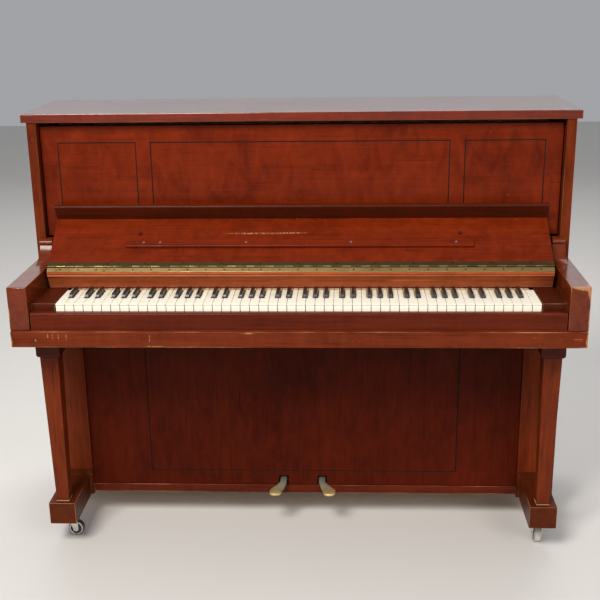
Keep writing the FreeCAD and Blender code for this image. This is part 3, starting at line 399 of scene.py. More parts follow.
def dress(name, material, bevel=None):
    """Gives a CAD node a finish and softened edges."""
    node = NODES[name]
    node.data.materials.clear()
    node.data.materials.append(material)
    soft_edges(node, bevel)


def solid_points(node_name):
    """The corner points of each separate solid of a CAD node, as a list of lists."""
    mesh = NODES[node_name].data
    owner = {}
    parent = []

    def root(item):
        while parent[item] != item:
            parent[item] = parent[parent[item]]
            item = parent[item]
        return item

    keys = []
    for vertex in mesh.vertices:
        spot = tuple(round(c * 1e5) for c in vertex.co)
        if spot not in owner:
            owner[spot] = len(parent)
            parent.append(len(parent))
        keys.append(owner[spot])
    for edge in mesh.edges:
        a, b = root(keys[edge.vertices[0]]), root(keys[edge.vertices[1]])
        if a != b:
            parent[a] = b
    groups = {}
    for spot, item in owner.items():
        groups.setdefault(root(item), []).append(Vector(spot) * 1e-5)
    return sorted(groups.values(), key=lambda points: min(p.x for p in points))


def box_of(points):
    return (Vector([min(p[i] for p in points) for i in range(3)]),
            Vector([max(p[i] for p in points) for i in range(3)]))


def add_block(shape, low, high, index=0):
    """A box between two corners in a bmesh."""
    corners = [shape.verts.new((x, y, z)) for z in (low[2], high[2]) for y in (low[1], high[1])
               for x in (low[0], high[0])]
    for face in ((0, 1, 3, 2), (4, 6, 7, 5), (0, 4, 5, 1), (2, 3, 7, 6), (0, 2, 6, 4), (1, 5, 7, 3)):
        shape.faces.new([corners[n] for n in face]).material_index = index


def add_prism(shape, outline, low, high, place, index=0):
    """An outline pushed from low to high; place(a, b, level) gives each corner."""
    start = [shape.verts.new(place(a, b, low)) for a, b in outline]
    end = [shape.verts.new(place(a, b, high)) for a, b in outline]
    count = len(outline)
    faces = [shape.faces.new(start[::-1]), shape.faces.new(end)]
    for n in range(count):
        after = (n + 1) % count
        faces.append(shape.faces.new((start[n], start[after], end[after], end[n])))
    for face in faces:
        face.material_index = index


def loft(shape, rings, index=0):
    """Joins rings of corners one to the next and caps both ends."""
    count = len(rings[0])
    for a, b in zip(rings, rings[1:]):
        for n in range(count):
            face = shape.faces.new((a[n], a[(n + 1) % count], b[(n + 1) % count], b[n]))
            face.material_index = index
    shape.faces.new(rings[0][::-1]).material_index = index
    shape.faces.new(rings[-1]).material_index = index


def square_ring(shape, centre, half, z):
    """Four corners about a centre, at a height."""
    return [shape.verts.new((centre.x + a * half, centre.y + b * half, z))
            for a, b in ((-1, -1), (1, -1), (1, 1), (-1, 1))]


def along_x(a, b, level):
    return (level, a, b)


def along_z(a, b, level):
    return (a, b, level)


def add_turned(shape, profile, centre, axis, steps=32, index=0):
    """A turned form: (distance along the axis, radius) points swept round an axis through a centre."""
    axis = Vector(axis).normalized()
    side = axis.orthogonal().normalized()
    other = axis.cross(side)
    rings = []
    for along, radius in profile:
        ring = []
        for n in range(steps):
            angle = math.tau * n / steps
            spoke = side * math.cos(angle) + other * math.sin(angle)
            ring.append(shape.verts.new(Vector(centre) + axis * along + spoke * radius))
        rings.append(ring)
    loft(shape, rings, index)


def add_screw(shape, centre, axis, radius, index=0, slot_turn=0.4):
    """A countersunk screw head with a real slot: two half discs either side of the cut."""
    axis = Vector(axis).normalized()
    side = axis.orthogonal().normalized()
    side.rotate(Matrix.Rotation(slot_turn, 3, axis))
    other = axis.cross(side)
    gap = radius * 0.16
    for sign in (-1, 1):
        start = math.asin(gap / radius)
        rim = []
        for n in range(9):
            turn = start + (math.pi - 2 * start) * n / 8
            rim.append(Vector(centre) + other * sign * (radius * math.sin(turn)) + side * radius * math.cos(turn))
        low = [shape.verts.new(p - axis * radius * 0.4) for p in rim]
        high = [shape.verts.new(p + axis * radius * 0.12) for p in rim]
        faces = [shape.faces.new(low), shape.faces.new(high)]
        faces += [shape.faces.new((low[n], low[(n + 1) % 9], high[(n + 1) % 9], high[n])) for n in range(9)]
        for face in faces:
            face.material_index = index


# ---------------------------------------------------------------- materials

REDDISH = ((0.060, 0.0050, 0.0007), (0.180, 0.0185, 0.0028))
BROWNISH = ((0.058, 0.0070, 0.0009), (0.170, 0.0260, 0.0050))
SLIP_TONE = ((0.042, 0.0042, 0.0009), (0.120, 0.0145, 0.0030))
DARK_RED = ((0.034, 0.0050, 0.0016), (0.082, 0.0120, 0.0038))
FOOT_TONE = ((0.036, 0.0050, 0.0010), (0.105, 0.0190, 0.0040))
# SHADED: a darker copy of the case mahogany for the lower panel, painted shade from the key bed above it
SHADED = ((0.030, 0.0026, 0.0005), (0.085, 0.0085, 0.0016))


ARM_LEVEL = 0.790  # the height of the arms in front


def make_materials():
    look = {}
    look["panel"] = varnished("mahogany_panel", "x", *REDDISH, gloss=0.26, scratches=0.2, figure=0.75)
    look["fallboard"] = varnished("mahogany_fallboard", "x", *REDDISH, gloss=0.26, scratches=0.5, figure=0.6,
                                  marks=[((-0.11, -0.062, 0.868), (0.10, 0.012, 0.0022)),
                                         ((-0.02, -0.062, 0.869), (0.05, 0.012, 0.0016))])
    # the lip is painted darker than the fallboard's own mahogany: painted shade on its forward face
    look["lip"] = varnished("mahogany_lip_painted_shade", "x", *DARK_RED, gloss=0.3, figure=0.3)
    # the lower panel's darker tones are painted shade under the key bed
    look["lower_panel"] = varnished("mahogany_lower_painted_shade", "z", *SHADED, gloss=0.4, scratches=0.15, figure=0.7,
                                    specular=0.05)
    rail_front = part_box("key_bed_rail")[0].y
    rail_marks = [((x, rail_front, z), (0.0016, 0.004, high)) for x, z, high in
                  ((-0.628, 0.666, 0.008), (-0.616, 0.664, 0.010), (-0.601, 0.664, 0.009), (-0.581, 0.662, 0.011),
                   (-0.369, 0.660, 0.014))]
    rail_marks += [((-0.121, rail_front, 0.673), (0.026, 0.004, 0.0022)), ((-0.355, rail_front, 0.638),
                   (0.032, 0.004, 0.0022)), ((0.700, rail_front, 0.658), (0.016, 0.004, 0.0012)),
                   ((-0.660, rail_front, 0.652), (0.003, 0.004, 0.007))]
    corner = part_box("key_bed_rail")[1].x
    look["lid"] = varnished("mahogany_lid", "x", *REDDISH, gloss=0.20, wear=0.0014, wear_box=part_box("top_lid"),
                            scratches=0.2, coat=1.0, specular=0.2)
    look["rail"] = varnished("mahogany_rail", "x", *BROWNISH, gloss=0.3, wear=0.0030, wear_box=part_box("key_bed_rail"),
                             scratches=0.7, marks=rail_marks,
                             scars=[((corner, rail_front, 0.650), 0.035, 0.010), ((-corner, rail_front, 0.650), 0.02,
                                    0.006)])
    look["slip"] = varnished("mahogany_slip", "x", *SLIP_TONE, gloss=0.3, wear=0.0008, wear_box=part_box("key_slip"),
                             scratches=0.4, figure=0.3)
    look["toe"] = varnished("mahogany_toe", "x", *SLIP_TONE, gloss=0.3, wear=0.0020, wear_box=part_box("bottom_rail"),
                            scratches=0.7)
    arm_low, arm_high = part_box("arms")
    arm_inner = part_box("key_slip")[1].x + 0.003
    arm_box = ((arm_inner, arm_low.y, arm_low.z), (arm_high.x, arm_high.y, ARM_LEVEL))
    look["arm"] = varnished("mahogany_arm", "y", *BROWNISH, gloss=0.24, wear=0.0024, wear_box=arm_box, scratches=0.4,
                            coat=0.3, scars=[((arm_high.x, arm_low.y, ARM_LEVEL), 0.045, 0.014),
                                             ((arm_high.x - 0.02, arm_low.y, ARM_LEVEL), 0.035, 0.009),
                                             ((-arm_high.x, arm_low.y, ARM_LEVEL - 0.07), 0.030, 0.007),
                                             ((arm_high.x, arm_low.y, ARM_LEVEL - 0.09), 0.050, 0.006)])
    toe_low, toe_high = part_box("toe_blocks")
    half = 0.0365
    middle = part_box("caster_fork_right")
    middle = (middle[0].x + middle[1].x) / 2
    look["toe_block"] = varnished("mahogany_toe_block", "y", *FOOT_TONE, gloss=0.34, wear=0.0022, scratches=0.3,
                                  wear_box=((middle - half, toe_low.y, toe_low.z), (middle + half, -0.051, 0.142)))
    block_low, block_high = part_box("key_blocks")
    look["key_block"] = varnished("mahogany_key_block", "y", *DARK_RED, gloss=0.3, wear=0.0022, scratches=0.2,
                                  wear_box=((0.6141, block_low.y, block_low.z), block_high))
    look["ledge"] = varnished("mahogany_ledge", "x", *REDDISH, gloss=0.3, scratches=0.4, figure=0.3)
    look["nameboard"] = varnished("mahogany_nameboard", "x", (0.19, 0.033, 0.009), (0.46, 0.115, 0.036), gloss=0.3,
                                  scratches=0.6, figure=0.3)
    look["leg"] = varnished("mahogany_leg", "z", *BROWNISH, gloss=0.34, scratches=0.3)
    look["cap"] = varnished("mahogany_cap", "x", *DARK_RED, gloss=0.35)
    look["groove"] = moulded("groove_line", (0.012, 0.008, 0.006), 0.7, 0.3, 0.06)
    look["raw_wood"] = bare_wood("worn_line", "x", (0.30, 0.17, 0.09), (0.55, 0.36, 0.22))
    look["maple_dowel"] = bare_wood("dowel_maple", "z", (0.50, 0.34, 0.18), (0.68, 0.51, 0.30), 0.5)
    look["pedal"] = pedal_metal()
    look["caster"] = metal("caster_plating", (0.70, 0.68, 0.64), (0.35, 0.32, 0.28), 0.3, 0.5)
    look["stand"] = varnished("mahogany_upright", "z", *BROWNISH, gloss=0.34, scratches=0.2)
    look["key_wood"] = bare_wood("sugar_pine", "y", (0.42, 0.27, 0.13), (0.62, 0.45, 0.26))
    look["ivory"] = moulded("white_celluloid", (0.87, 0.83, 0.69), 0.25, 0.12, bumps=0.004)
    look["ebony"] = moulded("black_sharps", (0.012, 0.012, 0.013), 0.34, 0.5)
    look["brass"] = metal("aged_brass", (0.125, 0.082, 0.034), (0.050, 0.035, 0.018), 0.42, 0.8, (3, 300, 300))
    # a lighter copy of the hinge brass, for the fixed leaf
    look["brass_bright"] = metal("lighter_hinge_brass", (0.38, 0.26, 0.105), (0.17, 0.115, 0.05), 0.36, 0.7)
    look["knuckle"] = metal("knuckle_brass", (0.24, 0.165, 0.068), (0.09, 0.063, 0.03), 0.42, 0.8)
    look["steel"] = metal("steel", (0.55, 0.55, 0.56), (0.30, 0.29, 0.28), 0.3, 0.4)
    look["dark_screw"] = metal("dark_screws", (0.045, 0.034, 0.022), (0.015, 0.011, 0.008), 0.45, 0.6)
    look["iron"] = metal("gilt_iron", (0.62, 0.44, 0.17), (0.36, 0.25, 0.10), 0.45, 0.5)
    look["spruce"] = bare_wood("spruce", "z", (0.48, 0.31, 0.15), (0.66, 0.47, 0.26), 0.5)
    look["beech"] = bare_wood("beech", "x", (0.40, 0.25, 0.13), (0.58, 0.40, 0.23), 0.55)
    look["post"] = bare_wood("stained_posts", "z", (0.16, 0.075, 0.035), (0.30, 0.16, 0.08), 0.55)
    look["maple"] = bare_wood("maple", "z", (0.50, 0.34, 0.18), (0.68, 0.51, 0.30), 0.5)
    look["white_felt"] = felt("white_felt", (0.72, 0.68, 0.58))
    look["red_felt"] = felt("red_felt", (0.22, 0.012, 0.015))
    look["rubber"] = moulded("button_rubber", (0.07, 0.006, 0.005), 0.7, 0.4, 0.1)
    look["wheel"] = moulded("wheel_rubber", (0.03, 0.028, 0.026), 0.5, 0.4)
    # a pale copy of the wheel tread: a painted highlight on the right front wheel
    look["wheel_painted_highlight"] = moulded("wheel_tread_painted_highlight", (0.58, 0.55, 0.50), 0.35, 0.7)
    return look


LOOK = make_materials()


# ---------------------------------------------------------------- carried-over CAD nodes

def dress_case():
    for side in ("left", "right"):
        node = f"side_panel_{side}"
        wood = varnished(f"mahogany_{node}", "z", *BROWNISH, wear=0.0012, wear_box=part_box(node), scratches=0.3)
        dress(node, wood, 0.0012)
    finishes = {
        "top_lid": ("lid", None), "key_bed_rail": ("rail", None), "key_bed": ("stand", 0.001),
        "lower_stiles": ("stand", 0.001), "toe_blocks": ("toe_block", 0.002), "key_slip": ("slip", None),
        "bottom_rail": ("toe", 0.0015), "bottom_board": ("beech", 0.001), "key_blocks": ("key_block", 0.0015),
        "back_frame": ("post", 0.002), "soundboard": ("spruce", None), "soundboard_ribs": ("spruce", 0.001),
        "pin_block": ("maple", None), "iron_plate": ("iron", None), "tuning_pins": ("steel", None),
        "strings": ("strings", None), "bridges": ("maple", 0.001), "key_frame": ("beech", None),
        "action_frame": ("beech", 0.001), "whippens": ("maple", None), "hammer_rail": ("beech", 0.001),
        "pedal_brackets": ("steel", 0.0008)}
    for node, (look, bevel) in finishes.items():
        dress(node, LOOK[look], bevel)


def make_strings_look():
    """Plain steel, with copper winding on the bass strings, which lie nearer the player."""
    graph = Graph("string_wire")
    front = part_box("strings")[0].y
    bass = graph.span(graph.axes()[1], front + 0.0045, front + 0.0050, 1.0, 0.0)
    winding = graph.noise(graph.stretched((900, 900, 2600)), 1.0, 1)
    tone = graph.mix(bass, (0.55, 0.55, 0.56), graph.mix(winding, (0.60, 0.28, 0.14), (0.35, 0.15, 0.07)))
    graph.bump(winding, 0.3, 0.0001)
    return graph.finish(tone, graph.span(winding, 0.3, 0.7, 0.25, 0.4), Metallic=1.0)


LOOK["strings"] = make_strings_look()


# ---------------------------------------------------------------- keys

# a white key's cover, its overhang in front, the plate under that, and the wood's step back
COVER = 0.0024
LIP = 0.0020
FRONT_PLATE = 0.0012
WOOD_INSET = 0.0003


def make_keys():
    """Every key as a wooden stick; white keys with a cover and a front plate, sharps with a tapered crown."""
    names = [name for name in NODES if name.startswith("keys_")]
    first_white = next(name for name in names if "sharp" not in name)
    top = max(p.z for p in solid_points(first_white)[0])
    cover_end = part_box("nameboard")[0][1] + 0.002
    for name in names:
        shape = bmesh.new()
        for points in solid_points(name):
            low, high = box_of(points)
            if "sharp" in name:
                add_sharp(shape, low, high, top, cover_end)
            else:
                add_white(shape, points, low, high, cover_end)
        kind, cover, slot = ("sharps", "ebony", "black_key") if "sharp" in name else ("whites", "ivory", "white_key")
        new_piece(f"{kind}_{name.removeprefix('keys_')}", shape, name, [LOOK[cover], LOOK["key_wood"]], [name],
                  0.0007)


def add_white(shape, points, low, high, cover_end):
    """The cover runs from the front to under the nameboard and follows the notches beside the sharps."""
    rows = {}
    for p in points:
        if abs(p.z - high.z) < 1e-4:
            rows.setdefault(round(p.y, 4), set()).add(round(p.x, 5))
    ys = sorted(rows)
    spans = [sorted(rows[y]) for y in ys]
    neck = ys[1] if len(ys) > 3 else ys[-2]
    left, right = low.x, high.x
    if len(ys) > 3:
        middle = (low.x + high.x) / 2
        left = max(x for x in (low.x, *spans[1]) if x < middle)
        right = min(x for x in (high.x, *spans[1]) if x > middle)

    def plan(start, inset):
        points = [(low.x + inset, start), (high.x - inset, start), (high.x - inset, neck - inset),
                  (right - inset, neck - inset), (right - inset, cover_end), (left + inset, cover_end),
                  (left + inset, neck - inset), (low.x + inset, neck - inset)]
        return [p for n, p in enumerate(points) if p != points[n - 1]]

    under = high.z - COVER
    front = low.y + LIP + FRONT_PLATE
    add_prism(shape, plan(low.y, 0.0), under, high.z, along_z)
    add_block(shape, (low.x + 0.0002, low.y + LIP, low.z + 0.001), (high.x - 0.0002, front, under))
    add_prism(shape, plan(front, WOOD_INSET), low.z, under, along_z, 1)
    stick = spans[-1]
    add_block(shape, (stick[0], cover_end, low.z), (stick[-1], high.y, high.z - 0.001), 1)


def add_sharp(shape, low, high, top, cover_end):
    """A crown narrower at its top, sloping at the front, on a stick of its own."""
    middle, half = (low.x + high.x) / 2, (high.x - low.x) / 2
    foot = 0.0048
    crest = 0.0038
    base = top - 0.002
    back = min(cover_end - 0.006, high.y)
    stations = [(low.y, base, foot), (low.y + 0.0005, base + 0.004, foot),
                (low.y + 0.004, high.z - 0.0035, crest + 0.0003), (low.y + 0.009, high.z - 0.0004, crest),
                (low.y + 0.02, high.z, crest), (back, high.z, crest)]
    rings = []
    for y, z, reach in stations:
        spots = [(middle - foot, y, base), (middle + foot, y, base)]
        if z > base:
            spots += [(middle + reach, y, z), (middle - reach, y, z)]
        rings.append([shape.verts.new(spot) for spot in spots])
    first, second = rings[0], rings[1]
    shape.faces.new((first[0], first[1], second[2], second[3]))
    shape.faces.new((first[1], second[1], second[2]))
    shape.faces.new((first[0], second[3], second[0]))
    shape.faces.new((first[0], second[0], second[1], first[1]))
    for a, b in zip(rings[1:], rings[2:]):
        for n in range(4):
            shape.faces.new((a[n], a[(n + 1) % 4], b[(n + 1) % 4], b[n]))
    shape.faces.new(rings[-1])
    add_block(shape, (middle - half, low.y + 0.004, low.z), (middle + half, high.y, base), 1)


# ---------------------------------------------------------------- panels with grooves

GROOVE_HALF = 0.0014
GROOVE_DEPTH = 0.0014
NARROW = 0.002  # longer than the short side of any face in a groove
TINY = 1e-7


def grooved_face(shape, x_range, z_range, y, rectangles, notch=None):
    """A panel's front face with a V groove along each rectangle's sides."""
    def with_grooves(ends, lines):
        cuts = set(ends)
        for line in lines:
            cuts.update(line + d for d in (-GROOVE_HALF, 0, GROOVE_HALF))
        return sorted(c for c in cuts if ends[0] <= c <= ends[-1])

    xs = with_grooves(x_range, [x for r in rectangles for x in r[:2]])
    zs = with_grooves(z_range, [z for r in rectangles for z in r[2:]])

    def depth(x, z):
        for x0, x1, z0, z1 in rectangles:
            on_side = min(abs(x - x0), abs(x - x1)) < TINY and z0 - TINY <= z <= z1 + TINY
            on_level = min(abs(z - z0), abs(z - z1)) < TINY and x0 - TINY <= x <= x1 + TINY
            if on_side or on_level:
                return GROOVE_DEPTH
        return 0.0

    grid = [[shape.verts.new((x, y + depth(x, z), z)) for z in zs] for x in xs]
    for i in range(len(xs) - 1):
        for j in range(len(zs) - 1):
            middle = ((xs[i] + xs[i + 1]) / 2, (zs[j] + zs[j + 1]) / 2)
            if notch and notch[0] < middle[0] < notch[1] and middle[1] < notch[2]:
                continue
            face = shape.faces.new((grid[i][j], grid[i + 1][j], grid[i + 1][j + 1], grid[i][j + 1]))
            in_groove = any(vert.co.y > y + GROOVE_DEPTH / 2 for vert in face.verts)
            if in_groove and min(edge.calc_length() for edge in face.edges) < NARROW:
                face.material_index = 1


def close_back(shape, depth):
    """Gives a front face a back and sides: its border is pushed back and capped."""
    faces = list(shape.faces)
    made = bmesh.ops.extrude_face_region(shape, geom=faces, use_keep_orig=True)
    verts = [item for item in made["geom"] if isinstance(item, bmesh.types.BMVert)]
    level = max(v.co.y for v in verts)
    for vert in verts:
        vert.co.y = level + depth


def panel_lines():
    """The three inlaid rectangles of the upper panel."""
    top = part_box("upper_front_panel")[1].z - 0.045
    foot = 0.930
    side, inner, centre = 0.651, 0.441, 0.400
    return [(-side, -inner, foot, top), (-centre, centre, foot, top), (inner, side, foot, top)]


def make_upper_panel():
    low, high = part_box("upper_front_panel")
    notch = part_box("fallboard")[1].x + 0.004
    rest = 0.900
    shape = bmesh.new()
    xs = [low.x, -notch, notch, high.x]
    grooved_face(shape, xs, [low.z, rest, high.z], low.y, panel_lines(), notch=(xs[1], xs[2], rest))
    close_back(shape, high.y - low.y - GROOVE_DEPTH)
    new_piece("upper_panel_face", shape, "case", [LOOK["panel"], LOOK["groove"]], ["upper_front_panel"],
              0.0025)


def make_lower_panel():
    low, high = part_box("lower_front_panel")
    shape = bmesh.new()
    slots = [(-0.070, -0.042), (0.042, 0.070)]
    half = 0.441
    rectangle = [(-half, half, 0.156, high.z - 0.03)]
    xs = sorted({low.x, high.x, *[x for s in slots for x in s]})
    grooved_face(shape, xs, [low.z, 0.140, high.z], low.y, rectangle)
    doomed = [f for f in shape.faces if any(a < f.calc_center_median().x < b for a, b in slots)
              and f.calc_center_median().z < 0.140]
    bmesh.ops.delete(shape, geom=doomed, context="FACES")
    close_back(shape, high.y - low.y - GROOVE_DEPTH)
    new_piece("lower_panel_face", shape, "lower_panel", [LOOK["lower_panel"], LOOK["groove"]],
              ["lower_front_panel"], 0.0)


# ---------------------------------------------------------------- fallboard and its hinge

def joint_place(name):
    return Vector(next(joint for joint in frame["joints"] if joint["name"] == name)["pos_m"])


FALL_PIN = joint_place("fallboard_hinge")
FALL_RISE = math.radians(36)
FALL_LENGTH, FALL_THICK, LIP_THICK, LIP_HEIGHT = 0.167, 0.018, 0.013, 0.047
LEDGE_FOOT, LEDGE_WIDE, LEDGE_HIGH = 0.062, 0.026, 0.009
BARREL = 0.0026
KNUCKLE = 0.0251


def leaning(along, out, x):
    """A point of the open fallboard: along its inner face from the hinge pin, and out from that face."""
    cos, sin = math.cos(FALL_RISE), math.sin(FALL_RISE)
    return Vector((x, FALL_PIN.y + along * cos - out * sin, FALL_PIN.z + along * sin + out * cos))


def arc(centre, radius, start, end, steps):
    """Points of a circular arc between two angles in degrees."""
    angles = [math.radians(start + (end - start) * n / steps) for n in range(steps + 1)]
    return [(centre[0] + radius * math.cos(a), centre[1] + radius * math.sin(a)) for a in angles]


def make_fallboard():
    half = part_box("fallboard")[1].x
    shape = bmesh.new()
    add_prism(shape, [(0.003, -FALL_THICK), (FALL_LENGTH, -FALL_THICK), (FALL_LENGTH, 0.0), (0.003, 0.0)], -half, half,
              leaning)
    new_piece("fallboard_panel", shape, "fallboard", LOOK["fallboard"], ["fallboard"], 0.001)
    shape = bmesh.new()
    high = LIP_HEIGHT - 0.005
    front, back = FALL_LENGTH + 0.00005, FALL_LENGTH + LIP_THICK
    outline = [(front, -FALL_THICK), (back, -FALL_THICK), *arc((back - 0.005, high), 0.005, 0, 90, 5),
               *arc((front + 0.004, high + 0.001), 0.004, 90, 180, 5)]
    add_prism(shape, outline, -half, half, leaning)
    new_piece("fallboard_lip", shape, "fallboard", LOOK["lip"], bevel=0.0008)


def make_music_ledge():
    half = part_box("music_ledge")[1].x
    foot, head, high = LEDGE_FOOT, LEDGE_FOOT + LEDGE_WIDE, LEDGE_HIGH
    shape = bmesh.new()
    outline = [(foot, 0.0001), (head, 0.0001), *arc((head - 0.003, high - 0.003), 0.003, 0, 90, 4),
               *arc((foot + 0.003, high - 0.003), 0.003, 90, 180, 4)]
    add_prism(shape, outline, -half, half, leaning)
    new_piece("music_ledge_strip", shape, "fallboard", LOOK["ledge"], ["music_ledge"], 0.0006)
    shape = bmesh.new()
    out = leaning(0, 1, 0) - leaning(0, 0, 0)
    for n, x in enumerate((-0.414, -0.370, -0.1405, 0.138, 0.415)):
        add_screw(shape, leaning(foot + LEDGE_WIDE * 0.5, high, x), out, 0.0032, slot_turn=0.5 + n * 1.1)
    new_piece("ledge_screws", shape, "fallboard", LOOK["steel"])
    shape = bmesh.new()
    for points in solid_points("fallboard_buttons"):
        low, top = box_of(points)
        middle = (low + top) / 2 - out * 0.0025
        add_turned(shape, [(0, 0.0050), (0.0025, 0.0050), (0.0042, 0.0042), (0.0050, 0.0028)], middle, out, 24)
    new_piece("rest_buttons", shape, "fallboard", LOOK["rubber"], ["fallboard_buttons"])


def knuckles(shape, half, centre, offset, step, radius):
    """Every other knuckle of a continuous hinge, each rolled with a chamfered end."""
    place = -half + offset * step
    while place < half - 0.001:
        end = min(place + step, half)
        run = end - place - 0.0005
        add_turned(shape, [(0.0, radius * 0.86), (0.0004, radius), (run - 0.0004, radius), (run, radius * 0.86)],
                   (place, centre.y, centre.z), (1, 0, 0), 20)
        place += 2 * step


def make_fallboard_hinge():
    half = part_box("fallboard_hinge_moving_leaf")[1].x
    leaf = 0.0016
    shape = bmesh.new()
    outline = [(BARREL * 0.5, 0.0002), (0.014, 0.0002), (0.014, leaf), (BARREL * 0.5, leaf)]
    add_prism(shape, outline, -half, half, leaning)
    knuckles(shape, half, FALL_PIN, 0, KNUCKLE, BARREL)
    new_piece("hinge_upper_leaf", shape, "fallboard", LOOK["brass"], ["fallboard_hinge_moving_leaf"], 0.0003)
    out = leaning(0, 1, 0) - leaning(0, 0, 0)
    shape = bmesh.new()
    count = 13
    for n in range(count):
        x = -half + 0.06 + (2 * half - 0.12) * n / (count - 1)
        add_screw(shape, leaning(0.0088, leaf, x), out, 0.0026, slot_turn=n * 0.9)
    new_piece("hinge_upper_screws", shape, "fallboard", LOOK["dark_screw"])

    low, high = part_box("fallboard_hinge_fixed_leaf")
    slope = Vector((0, high.y - low.y, high.z - low.z - leaf)).normalized()
    lift = Vector((0, -slope.z, slope.y))
    shape = bmesh.new()
    add_prism(shape, [(low.y, low.z), (high.y, high.z - leaf), (high.y, high.z), (low.y, low.z + leaf)], -half, half,
              along_x)
    new_piece("hinge_lower_leaf", shape, "case", LOOK["brass_bright"], ["fallboard_hinge_fixed_leaf"], 0.0003)
    shape = bmesh.new()
    knuckles(shape, half, FALL_PIN, 1, KNUCKLE, BARREL * 0.98)
    new_piece("hinge_lower_knuckles", shape, "case", LOOK["knuckle"])
    shape = bmesh.new()
    count = 27
    for n in range(count):
        x = -half + 0.035 + (2 * half - 0.07) * n / (count - 1)
        spot = Vector((x, low.y, low.z + leaf)) + slope * 0.0062
        add_screw(shape, spot - lift * 0.0001, lift, 0.0026, slot_turn=n * 1.3)
    new_piece("hinge_lower_screws", shape, "case", LOOK["dark_screw"])


def make_nameboard():
    """Nose under the hinge, a bead below it, then the face that leans down to the felt behind the keys."""
    low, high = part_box("nameboard")
    foot_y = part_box("key_blocks")[1].y + 0.001
    nose_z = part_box("fallboard_hinge_fixed_leaf")[0].z - 0.0002
    bead = 0.0032
    outline = [(foot_y, low.z), (high.y, low.z), (high.y, nose_z - 0.003), (FALL_PIN.y + 0.004, nose_z - 0.003),
               (FALL_PIN.y + 0.001, high.z - 0.003), (FALL_PIN.y - 0.001, high.z - 0.0004), (low.y, nose_z),
               (low.y, nose_z - 0.0055), (low.y + 0.0025, nose_z - 0.0065),
               *arc((low.y + 0.0042, nose_z - 0.0105), bead, 100, 260, 8), (low.y + 0.0050, nose_z - 0.0150)]
    shape = bmesh.new()
    add_prism(shape, outline, low.x, high.x, along_x)
    new_piece("nameboard_moulding", shape, "case", LOOK["nameboard"], ["nameboard"], 0.0004)
    shape = bmesh.new()
    add_prism(shape, [(foot_y - 0.0012, low.z - 0.0004), (foot_y + 0.012, low.z - 0.0004),
                      (foot_y + 0.012, low.z + 0.0002), (foot_y - 0.0012, low.z + 0.0002)], low.x, high.x, along_x)
    new_piece("nameboard_felt", shape, "case", LOOK["red_felt"], bevel=0.0002)


# ---------------------------------------------------------------- legs, pedals and casters

def make_arms():
    """Level in front, then a hollow sweep up to a rolled scroll against the case."""
    low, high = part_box("arms")
    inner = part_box("key_slip")[1].x + 0.003
    curl = 0.035
    roll = 0.011
    radius = 0.075
    land = high.y - 0.020
    for sign, side in ((-1, "left"), (1, "right")):
        shape = bmesh.new()
        ends = sorted((sign * inner, sign * high.x))
        outline = [(low.y, low.z), (high.y, low.z), (high.y, ARM_LEVEL), (low.y + 0.002, ARM_LEVEL),
                   (low.y, ARM_LEVEL - 0.002)]
        add_prism(shape, outline, *ends, along_x)
        replaced = ["arms"] if sign < 0 else []
        new_piece(f"arm_{side}", shape, "case", LOOK["arm"], replaced, 0.0018)
        shape = bmesh.new()
        ends = sorted((sign * inner, sign * (inner + curl)))
        rise = high.z - ARM_LEVEL
        sweep = math.degrees(math.asin(1 - (rise - roll * 1.5) / radius))
        start_y = land - math.sqrt(radius ** 2 - (radius - rise) ** 2)
        hollow = arc((start_y, ARM_LEVEL + radius), radius, -90, -sweep, 14)
        top = arc((hollow[-1][0] + roll * 0.62, high.z - roll), roll, 190, 90, 8)
        outline = [(high.y, ARM_LEVEL - 0.001), (high.y, high.z), *top[::-1], *hollow[::-1],
                   (start_y, ARM_LEVEL - 0.001)]
        add_prism(shape, outline, *ends, along_x)
        new_piece(f"arm_scroll_{side}", shape, "case", LOOK["arm"], bevel=0.0012)


LINE_HIGH = 0.0022
LEG_TAPER = 35 / 49


def make_legs():
    """Square legs that taper to the foot, each with a moulded cap and a thin line at the floor block."""
    for number, side in ((-1, "left"), (1, "right")):
        solids = [box_of(p) for p in solid_points("front_legs") if (sum(q.x for q in p) > 0) == (number > 0)]
        leg, cap = sorted(solids, key=lambda pair: pair[0].z)
        centre = (leg[0] + leg[1]) / 2
        top_half = (leg[1].x - leg[0].x) / 2
        foot_half = top_half * LEG_TAPER
        foot_z = leg[0].z + LINE_HIGH
        shape = bmesh.new()
        loft(shape, [square_ring(shape, centre, foot_half, foot_z), square_ring(shape, centre, top_half, leg[1].z)])
        replaced = ["front_legs"] if number < 0 else []
        new_piece(f"leg_{side}", shape, "case", LOOK["leg"], replaced, 0.0022)
        shape = bmesh.new()
        reach = foot_half + 0.0004
        add_block(shape, (centre.x - reach, centre.y - reach, leg[0].z),
                  (centre.x + reach, centre.y + reach, foot_z))
        new_piece(f"leg_line_{side}", shape, "case", LOOK["raw_wood"], bevel=0.0004)
        shape = bmesh.new()
        wide = (cap[1].x - cap[0].x) / 2
        base = cap[0].z
        profile = [(wide - 0.0050, base), (wide - 0.0040, base + 0.0012), (wide - 0.0010, base + 0.0040),
                   (wide, base + 0.0080), (wide, cap[1].z)]
        loft(shape, [square_ring(shape, centre, half, z) for half, z in profile])
        new_piece(f"leg_cap_{side}", shape, "case", LOOK["cap"], bevel=0.0008)


PEDAL_OUT = 0.056
TOE_TURN = 0.021


def smooth_step(t):
    t = min(1.0, max(0.0, t))
    return t * t * (3 - 2 * t)


